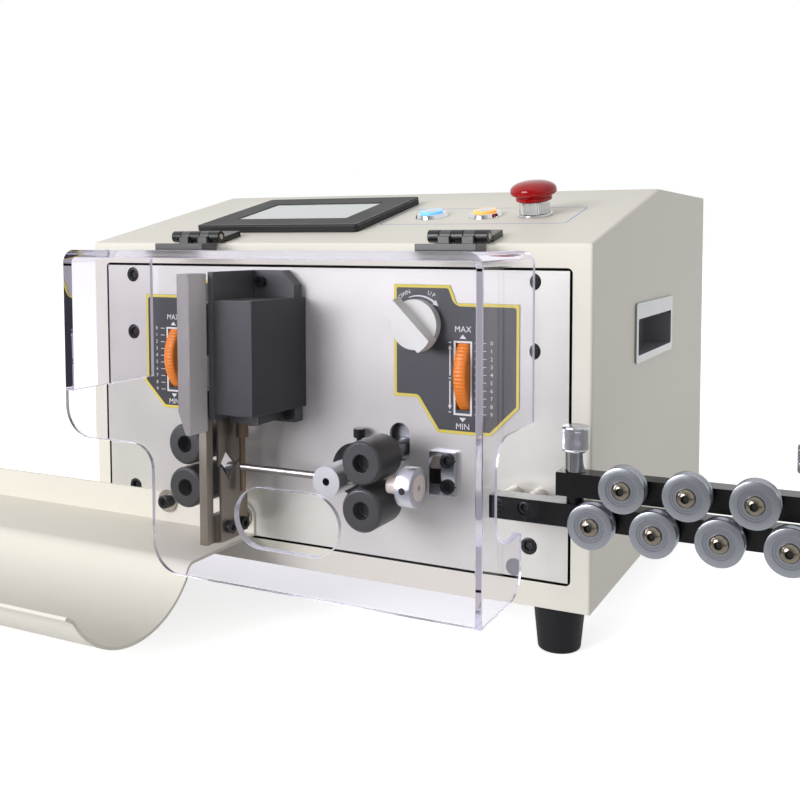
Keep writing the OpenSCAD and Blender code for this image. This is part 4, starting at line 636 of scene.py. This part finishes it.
def button_heads(name, places, level, body):
    """Domed screw heads in a row, each with a hexagon pit: the dome turned, the pit a six-sided cup."""
    domes = [revolve(head_line, (x, dome_seat, level), forward, 48) for x in places]
    pits = [revolve([(0, 1.2), (2.35, 1.2), (2.35, 3.06)], (x, dome_seat, level), forward, 6) for x in places]
    aboard(build(name, *gather(domes), axle_nickel, 30), body)
    # The pits in the nickel heads are painted near black: painted shade in the sockets.
    aboard(build(name + "_sockets", *gather(pits), painted_pit_shade, 30), body)


button_heads("lower_axle_heads", lower_x, lower_z, "frame")
button_heads("upper_axle_heads", upper_x, upper_z, "straightener_bar")
eased("upper_axle_screws", turned, 0.2, 1, cut=lambda x, y, z: y < axle_head_y)

# Thumbscrews: plated steel screws that press the upper bar down; their heads have
# a diamond knurl between two smooth chamfers, on a plain neck.
thumb_y, thumb_base, thumb_radius = -23, 95.3, 8.0
knurl_low, knurl_high, knurl_depth = 108.2, 121.4, 0.55


def knurled(x, y, base, top, radius, ridges=26):
    """A knurled cylinder: the radius dips along two crossing families of helical lines, and the dips fade
    at both ends."""
    turn, level = np.meshgrid(np.linspace(0, 2 * math.pi, ridges * 10, endpoint=False), np.linspace(0, 1, 81))
    climb = level * (top - base) / radius
    first = np.abs(((turn + climb) * ridges / (2 * math.pi)) % 1 - 0.5)
    second = np.abs(((turn - climb) * ridges / (2 * math.pi)) % 1 - 0.5)
    groove_depth = np.clip(1 - np.minimum(first, second) / 0.32, 0, 1)
    fade = np.clip(np.minimum(level, 1 - level) * 14, 0, 1)
    r = radius - knurl_depth * groove_depth * fade
    points = np.stack([x + r * np.cos(turn), y + r * np.sin(turn), base + level * (top - base)], -1)
    index = np.arange(points.size // 3).reshape(turn.shape)
    low, high = index[:-1], index[1:]
    faces = np.stack([low, np.roll(low, -1, 1), np.roll(high, -1, 1), high], -1).reshape(-1, 4)
    return points.reshape(-1, 3), faces.tolist()


upward = (0, 0, 1)
plated = finish("plated_steel", linear(186, 187, 190), 0.14, 1.0, clouds=0.06, spread=0.06, fineness=400,
                height=2e-6)
# Painted shade for the knurl's grooves.
knurl_groove_shade = finish("knurl_groove_shade", linear(70, 70, 72), 0.3, 1.0, clouds=0.1)
for side, x in (("left", 197.0), ("right", 328.5)):
    grip = knurled(x, thumb_y, knurl_low, knurl_high, thumb_radius)
    lower_end = revolve([(3.0, -32.5), (3.0, 0), (5.9, 0), (6.2, 0.3), (6.2, 11.9), (7.2, 11.9), (7.8, 12.3),
                         (8.0, 12.9)], (x, thumb_y, thumb_base), upward, 260)
    upper_end = revolve([(8.0, 26.1), (7.8, 26.7), (7.2, 27.2), (6.6, 27.4), (4.0, 27.4), (3.6, 27.2),
                         (0, 27.2)], (x, thumb_y, thumb_base), upward, 260)
    screw = build(f"{side}_thumbscrew_look", *gather([grip, lower_end, upper_end]), plated, 25)
    # The knurl's grooves are painted darker than the plated steel: painted shade in the grooves.
    paint(screw, knurl_groove_shade, lambda px, py, pz, x=x: knurl_low + 0.2 < pz < knurl_high - 0.2 and
          math.hypot(px - x, py - thumb_y) < thumb_radius - 0.38)
    settle(screw, f"{side}_thumbscrew")

# Tray: one steel sheet folded to a flange, a shelf, a round trough and a turned-out lip,
# powder-coated cream and bolted to the plate by its flange.
eased("tray", cream, 0.5)


# Guard: hood of clear acrylic sheet with sawn edges, which swings up on two hinges.
# Its sheets bend light at the cut edges and at the shoulders; lamps shine straight through it.
def acrylic(name, colour, rough, milk):
    """Clear acrylic: what is seen through it is bent, a Fresnel share is mirrored, lamps shine straight
    through, and light caught inside the sheet leaves it tinted; a sawn edge has some milk in it."""
    made = bpy.data.materials.new(name)
    made.use_nodes = True
    tree = made.node_tree
    body = tree.nodes["Principled BSDF"]
    bent = tree.nodes.new("ShaderNodeBsdfRefraction")
    mirror = tree.nodes.new("ShaderNodeBsdfGlossy")
    share = tree.nodes.new("ShaderNodeFresnel")
    for node in (bent, share):
        node.inputs["IOR"].default_value = 1.49
    for node in (bent, mirror):
        node.inputs["Color"].default_value = colour
        node.inputs["Roughness"].default_value = rough
    sheet = tree.nodes.new("ShaderNodeMixShader")
    tree.links.new(math_node(tree, "POWER", share.outputs[0], 1.45), sheet.inputs[0])
    tree.links.new(bent.outputs[0], sheet.inputs[1])
    tree.links.new(mirror.outputs[0], sheet.inputs[2])
    if milk:
        body.inputs["Base Color"].default_value = colour
        body.inputs["Roughness"].default_value = 0.4
        edge = tree.nodes.new("ShaderNodeMixShader")
        edge.inputs[0].default_value = milk
        tree.links.new(sheet.outputs[0], edge.inputs[1])
        tree.links.new(body.outputs[0], edge.inputs[2])
        sheet = edge
    else:
        tree.nodes.remove(body)
    rays = tree.nodes.new("ShaderNodeLightPath")
    caught = math_node(tree, "GREATER_THAN", rays.outputs["Ray Depth"], 3.5)
    lit = math_node(tree, "MAXIMUM", rays.outputs["Is Shadow Ray"], rays.outputs["Is Diffuse Ray"])
    for chance, tint in ((caught, (0.76, 0.75, 0.82, 1)), (lit, linear(250, 250, 251))):
        passing = tree.nodes.new("ShaderNodeBsdfTransparent")
        passing.inputs["Color"].default_value = tint
        choice = tree.nodes.new("ShaderNodeMixShader")
        tree.links.new(chance, choice.inputs[0])
        tree.links.new(sheet.outputs[0], choice.inputs[1])
        tree.links.new(passing.outputs[0], choice.inputs[2])
        sheet = choice
    tree.links.new(sheet.outputs[0], tree.nodes["Material Output"].inputs["Surface"])
    return made


clear = acrylic("clear_acrylic", linear(252, 251, 254), 0.0, 0.0)
sawn = acrylic("sawn_edge", linear(238, 237, 246), 0.08, 0.35)
sheet_depth = 0.0075
guard = eased("guard", clear, 0.35)
guard.data.materials.append(sawn)
guard_tree = BVHTree.FromPolygons([vert.co for vert in guard.data.vertices],
                                  [face.vertices for face in guard.data.polygons])
for face in guard.data.polygons:
    depth = guard_tree.ray_cast(face.center - face.normal * 1e-5, -face.normal)[3]
    face.material_index = int(depth is not None and depth > sheet_depth)

# Hinges: moulded leaves, grey on the guard and black on the slope, screwed down;
# each pair turns on a nickel-plated steel pin.
hinge_places, hinge_half, pin_y, pin_z = (-96, 112.5), 21, -3, 234.4
hinge_black = finish("hinge_black", linear(30, 30, 32), 0.30, clouds=0.15, fineness=1500, height=1e-5)
hinge_grey = finish("hinge_grey", linear(78, 78, 80), 0.34, clouds=0.15, fineness=1500, height=1e-5)
eased("guard_hinge_leaves", hinge_grey, 0.4)
eased("body_hinge_leaves", hinge_black, 0.4)
pin_line = [(0, 0.3), (1.75, 0.3), (2.0, 0.1), (2.0, -0.3)]
pin_ends = [revolve(pin_line, (x + hinge_half * way, pin_y, pin_z), (way, 0, 0), 48)
            for x in hinge_places for way in (-1, 1)]
aboard(build("hinge_pin_ends", *gather(pin_ends), nickel, 30), "frame")

# Screen: black plastic frame let into the slope, with a silver chamfer round it
# and a grey display under glass.
slope_tilt = math.radians(13.04)
slope_up = np.array([0, -math.sin(slope_tilt), math.cos(slope_tilt)])
slope_back = np.array([0, math.cos(slope_tilt), math.sin(slope_tilt)])


def on_slope(x, back, up=0.0):
    """The points on the sloping panel at an x, a distance back from its front edge and a height above it."""
    x, back, up = np.broadcast_arrays(x, back, up)
    level = np.stack([x, 0 * x, 0 * x + front_height], -1)
    return level + back[..., None] * slope_back + up[..., None] * slope_up


def slope_ribbon(name, outer, inner, outer_up, inner_up, material):
    """A band on the sloping panel between two closed lines of (x, back), each at its own height."""
    points, faces = ribbon(outer, inner)
    heights = np.repeat([outer_up, inner_up], len(outer))
    aboard(build(name, on_slope(points[:, 0], points[:, 1], heights), faces, material), "frame")


def block_line(x0, back0, x1, back1, radius):
    """A rectangle with round corners."""
    return rounded([(x0, back0), (x1, back0), (x1, back1), (x0, back1)], [radius] * 4)


frame_black = finish("screen_frame", linear(44, 44, 46), 0.5, clouds=0.1, fineness=1500, height=8e-6,
                     specular_ior_level=0.2)
panel = finish("screen_panel", linear(188, 193, 194), 0.08, clouds=0.05, spread=0.0, fineness=4000,
               height=1e-6)
silver = finish("silver_trim", linear(205, 207, 210), 0.28, 0.9, clouds=0.06, fineness=800, height=6e-6)
eased("screen_bezel", frame_black, 0.8, 3)
eased("screen_glass", panel, 0.1, 1)
screen_x, screen_back, screen_half_width, screen_half_depth = -53.5, 85.5, 71, 52.5
screen_line = block_line(screen_x - screen_half_width, screen_back - screen_half_depth,
                         screen_x + screen_half_width, screen_back + screen_half_depth, 3)
slope_ribbon("screen_trim", inset(screen_line, -0.05), inset(screen_line, 1.3), 4.8, 6.06, silver)

# Panel print: one thin blue line round the place of the buttons,
# screen-printed on the powder coat.
ink_blue = finish("ink_blue", linear(128, 152, 205), 0.5, clouds=0.05, fineness=3000, height=4e-6)
button_line = block_line(20.5, 58.5, 164, 115, 5)
slope_ribbon("panel_border", button_line, inset(button_line, 0.9), 0.05, 0.05, ink_blue)

# Push buttons: chromed cone bezels nutted into the slope; each cap is a lit ring
# of clear plastic round a polished metal disc.
button_back, button_places, stop_x = 86, (("blue", 52), ("orange", 95)), 133
blue = finish("blue_lens", linear(120, 190, 240), 0.2, emission_color=linear(90, 180, 255),
              emission_strength=0.6)
amber = finish("orange_lens", linear(250, 180, 90), 0.2, emission_color=linear(255, 160, 50),
               emission_strength=0.6)
eased("blue_button", blue, 0.5, 3)
eased("orange_button", amber, 0.5, 3)
stop_place = on_slope(stop_x, button_back)
eased("control_bezels", chrome, 0.4, 3, cut=lambda x, y, z: x > stop_x - 15 and
      (np.array([x, y, z]) - stop_place) @ slope_up > 2.2)
for colour, x in button_places:
    disc = revolve([(0, 0.35), (5.0, 0.35), (5.6, 0.1), (5.6, -0.2)], on_slope(x, button_back, 4.6),
                   slope_up, 64)
    aboard(build(f"{colour}_button_disc", *disc, chrome, 30), colour)

# Stop button: mushroom head of red plastic with a hollow skirt,
# which slides down over a ridged chrome collar when it is pressed.
red = finish("stop_red", linear(158, 3, 10), 0.1, clouds=0.05, fineness=1200, height=2e-6,
             specular_ior_level=0.4)
stop_line = [(0, 16.0), (11.7, 16.0), (11.7, 11.3), (12.5, 11.3), (12.85, 11.6), (12.85, 13.4), (12.5, 13.7),
             (12.85, 14.0), (12.85, 15.0), (15.2, 15.4), (16.1, 16.2), (16.5, 17.6), (16.4, 19.2),
             (15.8, 20.6), (14.4, 22.0), (12.2, 23.2), (9.4, 24.1), (6.2, 24.7), (3.1, 24.95), (0, 25)]
stop_stem = [(6, -12), (6, 16.0)]
stop_head = build("stop_button_look", *gather([revolve(stop_line, stop_place, slope_up, 96),
                                               revolve(stop_stem, stop_place, slope_up, 48)]), red, 30)
settle(stop_head, "stop_button")
collar_line = [(10.9, 1.9), (10.9, 10.6), (10.5, 11.0), (6.2, 11.0)]
collar_ridges, ridge_depth = 40, 0.5
collar = revolve(collar_line, stop_place, slope_up, 360, collar_ridges, ridge_depth)
aboard(build("stop_collar", *collar, chrome, 30), "frame")

# Side handles: plated steel cups let into both sides of the body,
# with a flat rim outside and a duller recess for the fingers.
handle_plate = finish("handle_plate", linear(150, 151, 153), 0.22, 1.0, clouds=0.06, fineness=500,
                      height=3e-6)
handle_inside = finish("handle_inside", linear(138, 138, 144), 0.35, 0.3, clouds=0.08, fineness=500,
                       height=3e-6)
handles = eased("side_handles", handle_plate, 0.5, 3)
paint(handles, handle_inside, lambda x, y, z: abs(x) < half_width - 1.5)

# Inside and back: power supply and control board on the base plate,
# and a black plastic mains inlet and rocker switch in the rear cover.
board = finish("board_green", linear(70, 110, 84), 0.5, clouds=0.2)
inlet_black = finish("inlet_black", linear(26, 26, 28), 0.45, clouds=0.15)
eased("control_electronics", board, 0.3, 1)
eased("power_inlet", inlet_black, 0.4)
eased("rocker_switch", inlet_black, 0.4)

# Stage: pale floor, a bright room that is darker to the right and in front, and two large soft lamps.
# Seen directly or through the guard, floor and room are white; in metal the room is dim in front, and the
# floor carries painted shade towards the front.
floor_mesh = bpy.data.meshes.new("floor")
floor_mesh.from_pydata([(-20, -20, 0), (20, -20, 0), (20, 20, 0), (-20, 20, 0)], [], [(0, 1, 2, 3)])
floor_finish = bpy.data.materials.new("floor")
floor_finish.use_nodes = True
floor_tree = floor_finish.node_tree
floor_paint = floor_tree.nodes["Principled BSDF"]
for label, value in (("Roughness", 0.8), ("Specular IOR Level", 0.0), ("Emission Color", (1, 1, 1, 1))):
    floor_paint.inputs[label].default_value = value
floor_rays = floor_tree.nodes.new("ShaderNodeLightPath")
floor_spot = floor_tree.nodes.new("ShaderNodeTexCoord")
floor_axes = floor_tree.nodes.new("ShaderNodeSeparateXYZ")
floor_tree.links.new(floor_spot.outputs["Object"], floor_axes.inputs[0])
# Painted shade in reflections only: for glossy rays the floor darkens towards the front.
in_front = floor_tree.nodes.new("ShaderNodeMapRange")
for label, value in (("From Min", 0.0), ("From Max", -0.7), ("To Min", 0.0), ("To Max", 0.85)):
    in_front.inputs[label].default_value = value
floor_tree.links.new(floor_axes.outputs["Y"], in_front.inputs["Value"])
kept = math_node(floor_tree, "SUBTRACT", 1.0, math_node(floor_tree, "MULTIPLY", in_front.outputs[0],
                                                        floor_rays.outputs["Is Glossy Ray"]))
floor_grey = floor_tree.nodes.new("ShaderNodeCombineColor")
for label in ("Red", "Green", "Blue"):
    floor_tree.links.new(math_node(floor_tree, "MULTIPLY", kept, 0.75), floor_grey.inputs[label])
floor_tree.links.new(floor_grey.outputs[0], floor_paint.inputs["Base Color"])
seen = math_node(floor_tree, "MAXIMUM", floor_rays.outputs["Is Camera Ray"],
                 floor_rays.outputs["Is Glossy Ray"])
seen = math_node(floor_tree, "MAXIMUM", seen, floor_rays.outputs["Is Transmission Ray"])
seen = math_node(floor_tree, "MULTIPLY", seen, kept)
floor_tree.links.new(math_node(floor_tree, "MULTIPLY", seen, 0.7), floor_paint.inputs["Emission Strength"])
floor_mesh.materials.append(floor_finish)
floor = bpy.data.objects.new("floor", floor_mesh)
bpy.context.scene.collection.objects.link(floor)

room = bpy.data.worlds.new("studio")
bpy.context.scene.world = room
room.use_nodes = True
room_tree = room.node_tree
room_way = room_tree.nodes.new("ShaderNodeTexCoord")
toward = room_tree.nodes.new("ShaderNodeVectorMath")
toward.operation = "DOT_PRODUCT"
toward.inputs[1].default_value = (0.95, -0.3, 0.0)
room_tree.links.new(room_way.outputs["Generated"], toward.inputs[0])
shade = room_tree.nodes.new("ShaderNodeMapRange")
for label, value in (("From Min", 0.0), ("From Max", 0.8), ("To Min", 1.0), ("To Max", 0.6)):
    shade.inputs[label].default_value = value
room_tree.links.new(toward.outputs["Value"], shade.inputs["Value"])
ahead = room_tree.nodes.new("ShaderNodeVectorMath")
ahead.operation = "DOT_PRODUCT"
ahead.inputs[1].default_value = (-0.25, -0.97, 0.0)
room_tree.links.new(room_way.outputs["Generated"], ahead.inputs[0])
dim = room_tree.nodes.new("ShaderNodeMapRange")
for label, value in (("From Min", 0.45), ("From Max", 0.9), ("To Min", 1.0), ("To Max", 0.25)):
    dim.inputs[label].default_value = value
room_tree.links.new(ahead.outputs["Value"], dim.inputs["Value"])
room_rays = room_tree.nodes.new("ShaderNodeLightPath")
plain = math_node(room_tree, "MAXIMUM", room_rays.outputs["Is Camera Ray"],
                  room_rays.outputs["Is Transmission Ray"])
mirror = room_rays.outputs["Is Glossy Ray"]
mirrored = math_node(room_tree, "MULTIPLY", mirror, dim.outputs[0])
room_level = 0.66
not_mirrored = math_node(room_tree, "SUBTRACT", room_level,
                         math_node(room_tree, "MULTIPLY", mirror, room_level))
spread_out = math_node(room_tree, "MULTIPLY", not_mirrored, shade.outputs[0])
level = math_node(room_tree, "MAXIMUM", plain, math_node(room_tree, "ADD", mirrored, spread_out))
room_tree.nodes["Background"].inputs["Color"].default_value = (1, 1, 1, 1)
room_tree.links.new(level, room_tree.nodes["Background"].inputs["Strength"])


def lamp(name, spot, target, size, watts):
    """A square soft lamp at a spot, turned to a target."""
    data = bpy.data.lights.new(name, "AREA")
    data.size = size
    data.energy = watts
    made = bpy.data.objects.new(name, data)
    made.location = spot
    direction = made.location.copy()
    direction.xyz = [t - s for t, s in zip(target, spot)]
    made.rotation_euler = direction.to_track_quat("-Z", "Y").to_euler()
    bpy.context.scene.collection.objects.link(made)


lamp("overhead", (0.3, -0.2, 3.0), (0, 0, 0.1), 2.6, 4)
lamp("front_left", (-2.3, -4.7, 1.7), (0, -0.1, 0.15), 2.4, 200)

# Camera: the place, turn and lens found from the body's edges in the picture,
# with the frame shifted as the picture was cropped.
camera_data = bpy.data.cameras.new("photo")
camera_data.sensor_width = 36
camera_data.lens = 44.64
camera_data.shift_x = -0.0349
camera_data.shift_y = -0.127
camera = bpy.data.objects.new("photo", camera_data)
camera.location = place((369.8, -584.7, 231.7))
camera.rotation_euler = (math.radians(90 - 3.34), 0, math.radians(25.66))
bpy.context.scene.collection.objects.link(camera)
bpy.context.scene.camera = camera
bpy.context.scene.view_settings.view_transform = "Standard"
